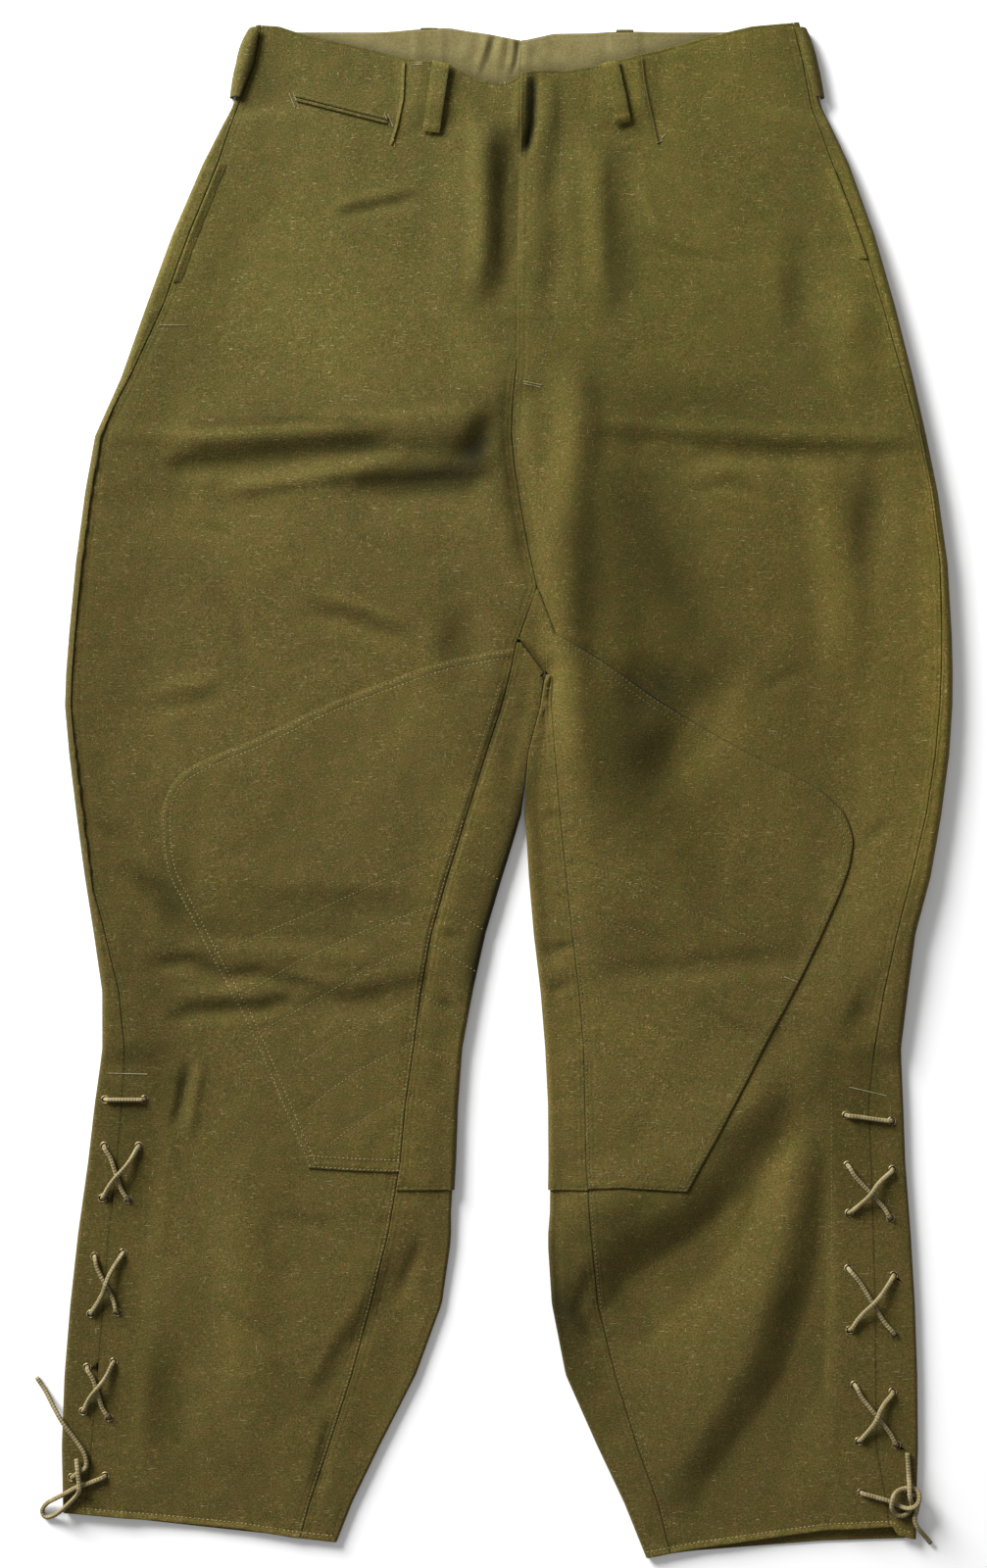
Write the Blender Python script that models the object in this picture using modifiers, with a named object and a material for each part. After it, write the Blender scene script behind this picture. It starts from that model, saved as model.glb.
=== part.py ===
# Knee breeches laid flat, front side up: metres, +Z up, waist towards +Y.
# The wearer's right leg lies towards -X.  Sizes are in millimetres and are scaled once, in place().
# A place on the garment is (across, down): across from the middle, down from the top of the waist.
import bpy
import bmesh
import numpy as np
from math import cos, sin, pi, radians, hypot
from mathutils import Matrix

MM = 0.001
LENGTH = 1078.5            # waist corner to the longest point of the hem
CLOTH = 1.2                # cotton drill
FACING = 1.0               # waistband facing
PATCH = 1.1                # knee reinforcement
SEAM_GAP = 0.3             # between neighbouring panels
LAID_GAP = 2.4             # air between the two layers of a leg, beside its folded edges
BILLOW = 2.6               # what is added in the middle of a leg
BILLOW_ZONE = 60
LACED_GAP = 3.9            # the same under the lacing, where the lace runs inside
LEAST_GAP = 1.0
FACED_GAP = 3.0            # least gap over the waistband facing
OVERLAY_GAP = 0.4          # under what is sewn on a panel
PATCH_LIFT = OVERLAY_GAP + PATCH + 0.02    # the back panel lies this high over a knee patch
LOOP_THICK = 1.6
LOOP_WIDE = 11.5
LOOP_LIFT = 2.0            # and this high over a back belt loop
LACE = 3.2                 # lace diameter
EYELET_HOLE = 6.2

SIDES = {"right": -1, "left": 1}       # the wearer's sides, and the way that side's outer edge faces

# One row for each station down the garment, across in mm for the edges and seams of both legs.
STATION_COLUMNS = ("down", "r_outer", "r_outseam", "r_inseam", "r_inner",
                   "l_inner", "l_inseam", "l_outseam", "l_outer")
STATIONS = (
    (0, -176, -171.5, 9, 27, 27, 35, 201, 205.6),
    (30, -182, -177.5, 9, 27, 27, 35, 208.4, 212.9),
    (60, -193.3, -188.8, 9, 27, 27, 35, 214, 221.5),
    (100, -213.4, -202, 9, 27, 27, 35, 228.2, 240.2),
    (150, -234.6, -222, 9, 27, 27, 35, 246.8, 258),
    (200, -252.8, -240, 9, 27, 27, 35, 262.9, 272.3),
    (250, -270.4, -263, 9, 27, 27, 35, 277.3, 284.9),
    (291, -288.7, -284.3, 9, 27, 27, 35, 288.6, 294.1),
    (330, -295.6, -290.8, 9, 27, 27, 35, 296.6, 302.1),
    (380, -302.2, -297.4, 9, 27, 27, 35, 302.8, 309),
    (430, -306.9, -301.4, 8.3, 27, 27, 35, 304.2, 312),
    (457, -309, -303.6, 2.5, 26.9, 27.1, 32.4, 303.8, 312.6),
    (480, -309.8, -304, -3.4, 23.3, 23.9, 31.3, 302.8, 312.4),
    (514, -306.8, -302.3, -14.4, 14.5, 15.1, 33.9, 299.6, 310.2),
    (536, -304.1, -299.6, -21.3, 12.3, 13.5, 35.8, 296.3, 307.3),
    (556, -301.7, -297.2, -27.6, 10.2, 12.4, 37.5, 293.2, 304.7),
    (575, -299.2, -294.6, -33.5, 4.8, 13.9, 39.3, 288.9, 301.5),
    (600, -295.8, -291, -41.4, -3, 15.4, 41.8, 282.8, 297.1),
    (640, -289.5, -280.4, -52.7, -14.8, 18.8, 45.9, 272.5, 286.5),
    (680, -283.8, -271, -59.8, -23.6, 23.5, 50.8, 264.2, 281.4),
    (720, -283.9, -267.3, -65.1, -31, 26.8, 54.1, 257.8, 276.7),
    (760, -289.5, -270.1, -70.9, -34, 28.8, 54.9, 253.6, 278.5),
    (800, -294.1, -273.4, -74.4, -35.4, 29.1, 55.6, 255.6, 279.9),
    (850, -301.1, -278.8, -83, -38.4, 28.4, 59, 257.1, 283.7),
    (900, -306.6, -282.8, -95.1, -45.6, 31.6, 64.1, 258.5, 286.7),
    (950, -310.7, -286.9, -108.7, -63.9, 41.4, 76.3, 258.8, 288.4),
    (1000, -312.6, -291.1, -124.8, -89.4, 63.6, 91.9, 259.2, 288.9),
    (1040, -311.8, -295.3, -138.2, -108.7, 82.6, 106.3, 266.5, 287.7),
    (1079, -311.2, -296, -149, -124, 98.4, 115.9, 271, 287.4),
)
# The centre line from the fly to the point of the crotch gusset, and the gusset's corners.
CENTRE_FRONT = ((0, 10), (97, 9), (155, 7.5), (243, 7), (266, 4.5), (290, 3.5), (314, 6), (342, 10.4),
                (369, 15.4), (397, 21.4))
GUSSET = {"top": (21.4, 397), "right": (8.3, 433), "left": (35, 433), "bottom": (27, 457)}
# The right front's extension under the left one, and how the left one rises over it.
FLY = {"extension": 6, "extension_foot": 226, "taper": 12,
       "raised": CLOTH + 0.4, "flat": 10, "blend": 24, "foot": 251}

# Edges and fold lines that run across, as (across, down).
WAIST_FRONT = ((-176, 2), (-160, 3), (-145, 8), (-100, 18), (-70, 26), (-40, 30), (-20, 41), (-2, 43),
               (8, 39), (10, 36), (21, 34), (42, 34), (68, 30), (95, 23), (138, 11), (172, 3), (205.6, 0))
WAIST_BACK = ((-176, 2), (-147, 6), (-92, 6), (-40, 3.5), (-14, 7), (11, 12), (33, 7), (105, 6),
              (155, 6), (205.6, 0))
STORAGE_CREASE = ((-288, 291), (-219, 291), (-136, 285), (-70, 279), (-15, 276),
                  (4, 280), (64, 285), (126, 287), (195, 291), (285, 294))
HEM_FRONT = ((-312.6, 1046), (-269, 1050), (-187, 1058), (-149, 1064), (-122, 1067),
             (98, 1078.5), (132, 1072), (167, 1067), (222, 1059), (271, 1056), (274, 1062), (288, 1065))
HEM_BACK = ((-312.6, 1046), (-269, 1051), (-187, 1060), (-122, 1067),
            (98, 1078.5), (132, 1074), (222, 1067), (288, 1065))
WAIST_ZONE, CREASE_AT, CREASE_ZONE, HEM_ZONE, HEM_AT = 76, 290, 26, 1000, 1060

# Rows of the panels' grids, close together at the waist, the storage crease, the crotch and the hem.
ROWS = (0, 16, 34, 60, 76, 106, 140, 174, 206, 238, 264, 280, 291, 300, 309, 319, 331, 348, 370, 397,
        418, 433, 457, 461, 480, 510, 545, 580, 612, 640, 660, 680, 706, 734, 764, 796, 820, 836, 860,
        890, 922, 954, 986, 1020, HEM_AT)
CROTCH_ROW = ROWS.index(461)
# Columns of a front panel: steps from the fly, which give way to even shares down the leg.
FRONT_STEPS = (0, 9, 18, 32, 46, 60, 76, 98)
FRONT_REST = 3
EVEN_FROM, EVEN_AT = 320, 440
FOLD_ANGLES = (90, 45, 0, -45, -90)

# Folds of the laid cloth, ridges and troughs: half width, height, and the line each follows.
FOLDS = (
    # storage crease
    (10, 1.4, STORAGE_CREASE[:5]),
    (12, -2.2, ((-240, 315), (-215, 311), (-177, 306), (-129, 300), (-83, 295))),
    (11, 2.0, ((-196, 328), (-150, 322), (-126, 318), (-101, 313), (-66, 305))),
    (12, -2.8, ((-112, 328), (-67, 324), (-12, 318))),
    (14, -3.0, ((-6, 270), (-20, 296), (-40, 310))),
    (10, 1.4, STORAGE_CREASE[6:]),
    (11, -2.0, ((85, 302), (168, 304), (237, 307))),
    # beside the fly
    (12, -2.4, ((2, 86), (1, 135), (0, 179))),
    (14, 2.7, ((-17, 66), (-17, 121), (-19, 183))),
    (14, -1.5, ((35, 141), (33, 183), (30, 207))),
    (14, 2.1, ((62, 90), (64, 141), (66, 200))),
    (14, -2.8, ((5, 259), (3, 293), (10, 342), (19, 390))),
    (22, 3.3, ((38, 236), (50, 280), (44, 320), (40, 355), (40, 424), (43, 480), (48, 540))),
    # left thigh
    (24, 3.4, ((240, 176), (242, 246))),
    (18, -2.6, ((207, 165), (206, 225))),
    (18, -3.0, ((259, 314), (257, 390))),
    (24, 3.3, ((221, 314), (235, 390), (240, 466))),
    # right thigh
    (44, 1.5, ((-219, 352), (-150, 376), (-95, 397))),
    (24, -4.4, ((-34, 406), (-28, 470))),
    (12, -1.5, ((-136, 414), (-101, 423), (-72, 435))),
    # behind the right knee
    (13, -3.4, ((-262, 597), (-244, 612), (-224, 640))),
    (15, -2.4, ((-240, 672), (-198, 682), (-150, 686), (-107, 690), (-70, 684))),
    (14, 1.5, ((-240, 643), (-198, 652), (-150, 652), (-88, 656))),
    (20, -2.2, ((-191, 621), (-81, 624), (-60, 628))),
    # calves
    (14, -1.5, ((-76, 862), (-90, 900), (-116, 936), (-136, 975))),
    (26, -2.8, ((-236, 925), (-232, 1012))),
    (34, 3.3, ((-190, 820), (-186, 914), (-177, 990))),
    (14, -1.4, ((60, 667), (126, 664), (213, 656))),
    (16, -3.2, ((256, 680), (244, 712))),
)
# Broad falls of the cloth from one side of a line to the other: width, reach, drop, and the line.
# Going down the garment the drop is towards the left leg, going towards the right leg it is downward.
FALLS = (
    (18, 50, 4.6, ((-2, 66), (-4, 100), (-6, 130), (-7, 165), (-14, 202))),
    (16, 60, 4.6, ((-14, 292), (-60, 296), (-130, 300), (-200, 304), (-240, 303))),
    (16, 34, 4.2, ((-10, 318), (-60, 325), (-114, 328))),
    (84, 36, 13, ((78, 236), (84, 300), (86, 380), (94, 440), (90, 490), (76, 552))),
    (34, 34, 6.5, ((160, 430), (138, 468), (116, 498), (86, 540))),
    (36, 60, -3.6, ((34, 440), (36, 520), (42, 600), (52, 690))),
    (34, 70, -3.2, ((246, 330), (252, 420), (254, 500), (243, 580), (226, 650), (196, 705))),
    (42, 56, 14, ((214, 738), (182, 776), (155, 816), (121, 849), (77, 872), (38, 908))),
    (38, 56, 11, ((224, 762), (218, 814), (206, 876), (187, 944), (156, 990), (130, 1035), (120, 1053))),
    (24, 50, 2.6, ((-66, 846), (-82, 887), (-112, 929), (-134, 975))),
)

# Eyelets of the lacing: (across, down) on the front panel, (across, down) on the back's turned edge.
EYELETS = {
    "right": ((-254, 756, -281.5, 756), (-257.8, 788.6, -282.1, 788.6), (-265.5, 826.3, -283.6, 825.3),
              (-269.1, 863.5, -288.8, 866), (-273, 905.1, -291.6, 906.3), (-275.5, 940, -294.1, 943.8),
              (-279, 978.9, -297.1, 974.7), (-281.5, 1020, -305, 1021)),
    "left": ((238, 767, 270, 771), (239, 802, 270.5, 805), (240, 835.6, 269, 839),
             (239.6, 874.4, 271.3, 879.3), (240.5, 917.6, 271.6, 920.5), (244, 956, 270.6, 961),
             (246.8, 995.6, 273.3, 998.1), (248.6, 1031.6, 281, 1033)),
}
LACING = {"top": 735, "start": 715, "half": 24, "blend": 16}

# How far a back knee patch reaches in under the leg from the inner fold.
PATCH_REACH = ((461, 34), (520, 76), (580, 100), (650, 96), (730, 74), (820, 50))
PATCH_MARGIN, RAMP = 4, 16
PATCH_LIFT_ROWS = (418, 433, 836, 860)
PATCH_OUTLINES = {
    "right": ((60, 441), (5, 441), (-33, 446), (-52, 451), (-126, 479), (-172, 501), (-212, 518),
              (-232, 531), (-241, 549), (-242, 569), (-238, 597), (-226, 621), (-200, 671), (-180, 709),
              (-154, 769), (-139, 804), (-72, 807), (-48, 815), (-30, 819), (60, 819)),
    "left": ((-20, 424), (35, 430), (66, 448), (113, 480), (166, 511), (200, 528), (221, 540),
             (235, 553), (242, 570), (242, 582), (236, 605), (211, 662), (179, 722), (154, 769),
             (126, 820), (40, 819), (-20, 819)),
}
# Back belt loops: middle, top and turn of each; front ones: top and foot of the middle line.
BACK_LOOPS = {"right": (-54.5, 2.2), "left": (83, 3.5)}
LOOP_LONG = 50
FRONT_LOOPS = {"right": ((-46, 30), (-53, 78)), "left": ((72, 30), (81, 72))}
SIDE_LOOP = {"top": 5, "foot": 53, "bulge": 4.0}
FACING_DEEP = 54
FACING_ENDS = {"right": -150, "left": 174}
# Gathers of the facing at the centre back: (across, half width, height).
GATHERS = ((-12, 4, 1.5), (-3, 3.5, 1.9), (4.7, 3, 1.4))

WATCH_POCKET = {"start": (-148.5, 53.5), "end": (-83.5, 70), "lip": 2.4, "slit": 0.5}
FRONT_SLITS = {"right": ((-71, 29), (-72, 55), (-76, 74), (-80, 87)),
               "left": ((94, 26), (96, 44), (100, 63), (105, 86))}
SIDE_POCKETS = {"right": (100, 184), "left": (104, 168)}
SLIT_LIP = 2.0
POCKET_LIP = 6.5

COLORS = {"drill": (0.155, 0.132, 0.047), "facing": (0.27, 0.235, 0.10), "lace": (0.27, 0.23, 0.12)}


def column(table, names, name):
    return [row[names.index(name)] for row in table]


def along(line, at):
    """Value of a (position, value) line at a position."""
    return float(np.interp(at, [p[0] for p in line], [p[1] for p in line]))


def edge(side, name, down):
    """Across of one of a leg's edges or seams at a station."""
    return float(np.interp(down, column(STATIONS, STATION_COLUMNS, "down"),
                           column(STATIONS, STATION_COLUMNS, side[0] + "_" + name)))


def centreFront(down):
    return along(CENTRE_FRONT, down)


def smooth(t):
    t = min(max(t, 0.0), 1.0)
    return t * t * (3 - 2 * t)


def place(across, down, height):
    return (across * MM, (LENGTH / 2 - down) * MM, height * MM)


def rowDown(level, across, waist, hem):
    """Down of a grid row, which bends with the waist, the storage crease and the hem."""
    crease = along(STORAGE_CREASE, across)
    return float(np.interp(
        level,
        (0, WAIST_ZONE, CREASE_AT - CREASE_ZONE, CREASE_AT, CREASE_AT + CREASE_ZONE, HEM_ZONE, HEM_AT),
        (along(waist, across), WAIST_ZONE, CREASE_AT - CREASE_ZONE, crease,
         CREASE_AT + CREASE_ZONE, HEM_ZONE, along(hem, across))))


def rimDown(side, name, level):
    """Down at which a grid row meets an edge or a seam."""
    return rowDown(level, edge(side, name, level), WAIST_FRONT, HEM_FRONT)


# ---------------------------------------------------------------- heights of the two layers
def patchRamp(side, down):
    """Where the back layer starts to rise over the patch, and where it is level again."""
    out = SIDES[side]
    level = edge(side, "inner", down) + out * (along(PATCH_REACH, down) + PATCH_MARGIN)
    return level + out * RAMP, level


def patchRows(down):
    return float(np.interp(down, PATCH_LIFT_ROWS, (0, 1, 1, 0)))


def loopRamp(side):
    middle, out = BACK_LOOPS[side][0], SIDES[side]
    flat = LOOP_WIDE / 2 + 3
    return [middle + out * s for s in (flat + RAMP, flat, -flat, -flat - RAMP)]


def backLift(side, across, down):
    """Height of the back layer's underside."""
    out = SIDES[side]
    start, level = patchRamp(side, down)
    patch = PATCH_LIFT * patchRows(down) * min(max((start - across) * out / RAMP, 0), 1)
    knots = loopRamp(side)
    fromOut = [k * out for k in reversed(knots)]
    loop = float(np.interp(across * out, fromOut, (0, 1, 1, 0)))
    loop *= LOOP_LIFT * float(np.interp(down, (60, WAIST_ZONE), (1, 0)))
    return max(patch, loop)


def fromLine(across, down, line):
    """Distance to a line of points, and from there along it to its nearer end."""
    lengths = [hypot(q[0] - p[0], q[1] - p[1]) for p, q in zip(line, line[1:])]
    nearest, passed = (1e9, 0), 0
    for (p, q), length in zip(zip(line, line[1:]), lengths):
        run = (q[0] - p[0], q[1] - p[1])
        share = ((across - p[0]) * run[0] + (down - p[1]) * run[1]) / length ** 2
        share = min(max(share, 0), 1)
        off = hypot(across - p[0] - run[0] * share, down - p[1] - run[1] * share)
        nearest = min(nearest, (off, passed + share * length))
        passed += length
    return nearest[0], min(nearest[1], passed - nearest[1])


def foldRelief(across, down):
    total = 0.0
    for half, height, line in FOLDS:
        off, toEnd = fromLine(across, down, line)
        if off < half:
            total += height * smooth((toEnd + half) / (3 * half)) * (0.5 + 0.5 * cos(pi * off / half))
    return total


def fallRelief(across, down):
    total = 0.0
    for width, reach, drop, line in FALLS:
        nearest, passed = (1e9, 0, 0), 0
        for (a1, d1), (a2, d2) in zip(line, line[1:]):
            length = hypot(a2 - a1, d2 - d1)
            share = ((across - a1) * (a2 - a1) + (down - d1) * (d2 - d1)) / length ** 2
            share = min(max(share, 0), 1)
            off = hypot(across - a1 - (a2 - a1) * share, down - d1 - (d2 - d1) * share)
            beside = ((across - a1) * (d2 - d1) - (down - d1) * (a2 - a1)) / length
            nearest = min(nearest, (off, beside, passed + share * length))
            passed += length
        off, beside, at = nearest
        if off < reach + width / 2:
            step = 1 - 2 * smooth(beside / width + 0.5)
            fade = 0.5 + 0.5 * cos(pi * off / (reach + width / 2))
            total += drop / 2 * step * fade * smooth((min(at, passed - at) + width / 4) / (width * 1.5))
    return total


def lacingShare(side, across, down):
    off = abs(across - edge(side, "outseam", down))
    sideways = 1 - smooth((off - LACING["half"]) / LACING["blend"])
    return sideways * smooth((down - LACING["start"]) / (LACING["top"] - LACING["start"]))


def topHeight(side, across, down):
    """Height of the upper layer's outer face."""
    crotch = GUSSET["bottom"]
    fromEdge = min(abs(across - edge(side, "outer", down)),
                   abs(across - edge(side, "inner", down)) if down > crotch[1] else
                   hypot(across - crotch[0], down - crotch[1]))
    gap = LAID_GAP + foldRelief(across, down) * smooth((fromEdge - 3) / 12)
    gap += fallRelief(across, down) * smooth((fromEdge + 4) / 16)
    gap += BILLOW * smooth(fromEdge / BILLOW_ZONE) * smooth(down / 90) * smooth((HEM_AT - down) / 90)
    share = lacingShare(side, across, down)
    gap = gap * (1 - share) + LACED_GAP * share
    least = FACED_GAP if down < WAIST_ZONE else LEAST_GAP
    return CLOTH + backLift(side, across, down) + max(gap, least) + CLOTH


def flyRaise(across, down):
    """The left front lies on the right front's extension along the fly."""
    off = across - centreFront(down)
    share = 1 - smooth((off - FLY["flat"]) / FLY["blend"])
    return FLY["raised"] * share * (1 - smooth((down - FLY["foot"]) / FLY["taper"]))


# ---------------------------------------------------------------- building blocks
def clearScene():
    for item in list(bpy.data.objects):
        bpy.data.objects.remove(item, do_unlink=True)


def collection(name):
    made = bpy.data.collections.new(name)
    bpy.context.scene.collection.children.link(made)
    return made


def material(name, color, roughness=0.9):
    made = bpy.data.materials.new(name)
    made.use_nodes = True
    shader = made.node_tree.nodes["Principled BSDF"]
    shader.inputs["Base Color"].default_value = (*color, 1)
    shader.inputs["Roughness"].default_value = roughness
    return made


def finish(bm, name, home, kind="drill"):
    mesh = bpy.data.meshes.new(name)
    bm.to_mesh(mesh)
    bm.free()
    item = bpy.data.objects.new(name, mesh)
    home.objects.link(item)
    if kind:
        mesh.materials.append(material(name, COLORS[kind]))
    return item


def gridMesh(points, keep=None, flip=False):
    """An open sheet from a grid of points; keep(row, column) says which faces stay."""
    rows, columns = len(points), len(points[0])
    bm = bmesh.new()
    bmesh.ops.create_grid(bm, x_segments=columns - 1, y_segments=rows - 1, size=0.5)
    bm.verts.ensure_lookup_table()
    for r in range(rows):
        for c in range(columns):
            bm.verts[r * columns + c].co = place(*points[r][c])
    if keep:
        bm.faces.ensure_lookup_table()
        spare = [bm.faces[r * (columns - 1) + c] for r in range(rows - 1) for c in range(columns - 1)
                 if not keep(r, c)]
        bmesh.ops.delete(bm, geom=spare, context="FACES")
    if flip:
        bmesh.ops.reverse_faces(bm, faces=bm.faces)
    bmesh.ops.triangulate(bm, faces=bm.faces)
    bm.normal_update()
    return bm


def thicken(item, thickness, offset):
    wall = item.modifiers.new("wall", "SOLIDIFY")
    wall.thickness = thickness * MM
    wall.offset = offset


def cutWith(item, cutter, operation):
    cut = item.modifiers.new("cut", "BOOLEAN")
    cut.operation = operation
    cut.solver = "EXACT"
    cut.object = cutter


def prism(name, outline, home, bottom=-5, top=30):
    """A cutter that stands on an outline of (across, down) points."""
    bm = bmesh.new()
    corners = [bm.verts.new(place(a, d, bottom)) for a, d in outline]
    face = bm.faces.new(corners)
    face.normal_update()
    if face.normal.z > 0:
        face.normal_flip()
    wall = bmesh.ops.extrude_face_region(bm, geom=[face])
    lifted = [v for v in wall["geom"] if isinstance(v, bmesh.types.BMVert)]
    bmesh.ops.translate(bm, verts=lifted, vec=(0, 0, (top - bottom) * MM))
    bmesh.ops.recalc_face_normals(bm, faces=bm.faces)
    item = finish(bm, name, home, kind=None)
    item.hide_render = True
    item.display_type = "WIRE"
    return item


# ---------------------------------------------------------------- the panels
def between(top, bottom, down):
    """Across at a station on the line from one (across, down) point to another."""
    return float(np.interp(down, (top[1], bottom[1]), (top[0], bottom[0])))


def frontInner(side, level):
    """Across of a front panel's inner boundary: fly, gusset, then inseam."""
    out, half = SIDES[side], SEAM_GAP / 2
    top, corner, bottom = GUSSET["top"], GUSSET[side], GUSSET["bottom"]
    if level <= top[1]:
        under = 0.0
        if side == "right":
            under = (FLY["extension"] + SEAM_GAP) * (1 - smooth((level - FLY["extension_foot"]) / FLY["taper"]))
        return centreFront(level) + out * half + under
    if level <= corner[1]:
        return between(top, corner, level) + out * half
    if level <= bottom[1]:
        return between(corner, bottom, level) + out * 0.4
    return edge(side, "inseam", level) + out * half


def frontGrid(side):
    out = SIDES[side]
    points = []
    for level in ROWS:
        row = []
        inner = frontInner(side, rimDown(side, "inseam", level))
        outer = edge(side, "outseam", rimDown(side, "outseam", level)) - out * SEAM_GAP / 2
        last = inner + out * FRONT_STEPS[-1]
        steps = [inner + out * s for s in FRONT_STEPS]
        steps += [last + (outer - last) * (k + 1) / FRONT_REST for k in range(FRONT_REST)]
        even = smooth((level - EVEN_FROM) / (EVEN_AT - EVEN_FROM))
        for index, step in enumerate(steps):
            shared = inner + (outer - inner) * index / (len(steps) - 1)
            across = step + (shared - step) * even
            down = rowDown(level, across, WAIST_FRONT, HEM_FRONT)
            height = topHeight(side, across, down)
            if side == "left":
                height += flyRaise(across, down)
            row.append((across, down, height))
        points.append(row)
    return points


def foldPoints(side, name, down):
    """The rounded outer or inner fold of a leg, from the upper layer to the lower."""
    out = SIDES[side]
    rim = edge(side, name, down)
    if name == "inner":                     # the patch lies outside the panel here
        rim += out * (PATCH_LIFT + 0.1) * patchRows(down)
        out = -out
    top = topHeight(side, rim - out * 3, down)
    low = backLift(side, rim - out * 3, down)
    radius = (top - low) / 2
    return [(rim - out * radius * (1 - cos(radians(a))), low + radius * (1 + sin(radians(a))))
            for a in FOLD_ANGLES]


def backGrid(side):
    out = SIDES[side]
    points = []
    for index, level in enumerate(ROWS):
        down = level if index != CROTCH_ROW else level + 1
        seam = edge(side, "outseam", rimDown(side, "outseam", down)) + out * SEAM_GAP / 2
        outer = foldPoints(side, "outer", rimDown(side, "outer", down))
        inner = foldPoints(side, "inner", rimDown(side, "inner", down))
        wrap = [(seam, None), ((seam + outer[0][0]) / 2, None)]
        first, last = outer[-1][0], inner[-1][0]
        if index < CROTCH_ROW:
            centre = centreFront(down)
            if down > GUSSET["top"][1]:
                centre = between(GUSSET["top"], GUSSET["bottom"], down)
            last = centre + out * SEAM_GAP / 2
        upper = loopRamp(side)
        start, flat = patchRamp(side, down)
        lower = [first + (start - first) * k / 3 for k in (1, 2, 3)] + [flat]
        share = smooth((down - 100) / 300)
        bottom = [(a + (b - a) * share, None) for a, b in zip(upper, lower)]
        inseam = edge(side, "inseam", rimDown(side, "inseam", down)) - out * SEAM_GAP / 2
        turned = [((inner[0][0] + inseam) / 2, None), (inseam, None)]
        row = []
        for across, height in wrap + outer + bottom + [(last, None)] + inner[-2::-1] + turned:
            topSide = len(row) < 2 or len(row) > 15
            under = 6 < len(row) < 12
            waist, hem = (WAIST_BACK, HEM_BACK) if under else (WAIST_FRONT, HEM_FRONT)
            at = rowDown(level, across, waist, hem) if index != CROTCH_ROW else down
            if height is None:
                height = topHeight(side, across, at) if topSide else backLift(side, across, at)
            row.append((across, at, height))
        points.append(row)
    return points


def panel(name, side, points, home, keep=None):
    item = finish(gridMesh(points, keep, flip=side == "left"), name, home)
    thicken(item, CLOTH, -1)
    return item


def overlay(name, base, outline, thickness, home, cutters, gap=OVERLAY_GAP):
    """A piece sewn on a panel: the panel's own points moved out, trimmed to an outline."""
    bm = bmesh.new()
    bm.from_mesh(base.data)
    bm.normal_update()
    moved = [(v, v.normal * gap * MM) for v in bm.verts]
    for vert, step in moved:
        vert.co += step
    item = finish(bm, name, home)
    item.data.materials.clear()
    item.data.materials.append(material(name, COLORS["drill"]))
    thicken(item, thickness, 1)
    cutWith(item, prism(name + "_outline", outline, cutters), "INTERSECT")
    return item


def gusset(home):
    middle = (sum(GUSSET[k][0] for k in GUSSET) / 4, sum(GUSSET[k][1] for k in GUSSET) / 4)

    def corner(a, d):
        away = hypot(a - middle[0], d - middle[1])
        pull = 1 - 1.1 / max(away, 1.1)
        a, d = middle[0] + (a - middle[0]) * pull, middle[1] + (d - middle[1]) * pull
        return (a, d, topHeight("right" if a < middle[0] else "left", a, d))

    top, right, left, bottom = (GUSSET[k] for k in ("top", "right", "left", "bottom"))

    def mix(p, q, t):
        return (p[0] + (q[0] - p[0]) * t, p[1] + (q[1] - p[1]) * t)

    steps = (0, 1 / 3, 2 / 3, 1)
    points = [[corner(*mix(mix(top, left, v), mix(right, bottom, v), u)) for v in steps] for u in steps]
    item = finish(gridMesh(points, flip=True), "crotch_gusset", home)
    thicken(item, CLOTH, -1)


# ---------------------------------------------------------------- waist pieces
def gatherHeight(across):
    return sum(h * (0.5 + 0.5 * cos(pi * min(abs(across - a) / half, 1))) for a, half, h in GATHERS)


def facing(side, home):
    out = SIDES[side]
    centre = 9.5 + out * SEAM_GAP / 2
    knots = sorted(loopRamp(side) + [centre, FACING_ENDS[side], FACING_ENDS[side] * 0.75]
                   + [a + s * half for a, half, h in GATHERS for s in (-1, 0, 1)
                      if (a + s * half - centre) * out > 1])
    points = []
    for share in (0, 0.34, 0.67, 1):
        row = []
        for across in knots:
            top = along(WAIST_BACK, across) + 1.5
            down = top + (FACING_DEEP - top) * share
            height = CLOTH + 0.5 + backLift(side, across, down)
            height += gatherHeight(across) * (1 - share) ** 2
            row.append((across, down, height))
        points.append(row)
    item = finish(gridMesh(points, flip=True), "waist_facing_" + side, home, "facing")
    thicken(item, FACING, 1)


def strip(name, rows, wide, thick, home):
    """A flat strap along rows of (across, down, height)."""
    points = []
    for index, (a, d, h) in enumerate(rows):
        nearby = rows[min(index + 1, len(rows) - 1)], rows[max(index - 1, 0)]
        run = (nearby[0][0] - nearby[1][0], nearby[0][1] - nearby[1][1])
        size = hypot(*run)
        step = (-run[1] / size * wide / 2, run[0] / size * wide / 2)
        points.append([(a - step[0], d - step[1], h), (a, d, h), (a + step[0], d + step[1], h)])
    item = finish(gridMesh(points, flip=False), name, home)
    if sum(p.normal.z for p in item.data.polygons) < 0:
        item.data.flip_normals()
    thicken(item, thick, 1)


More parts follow.
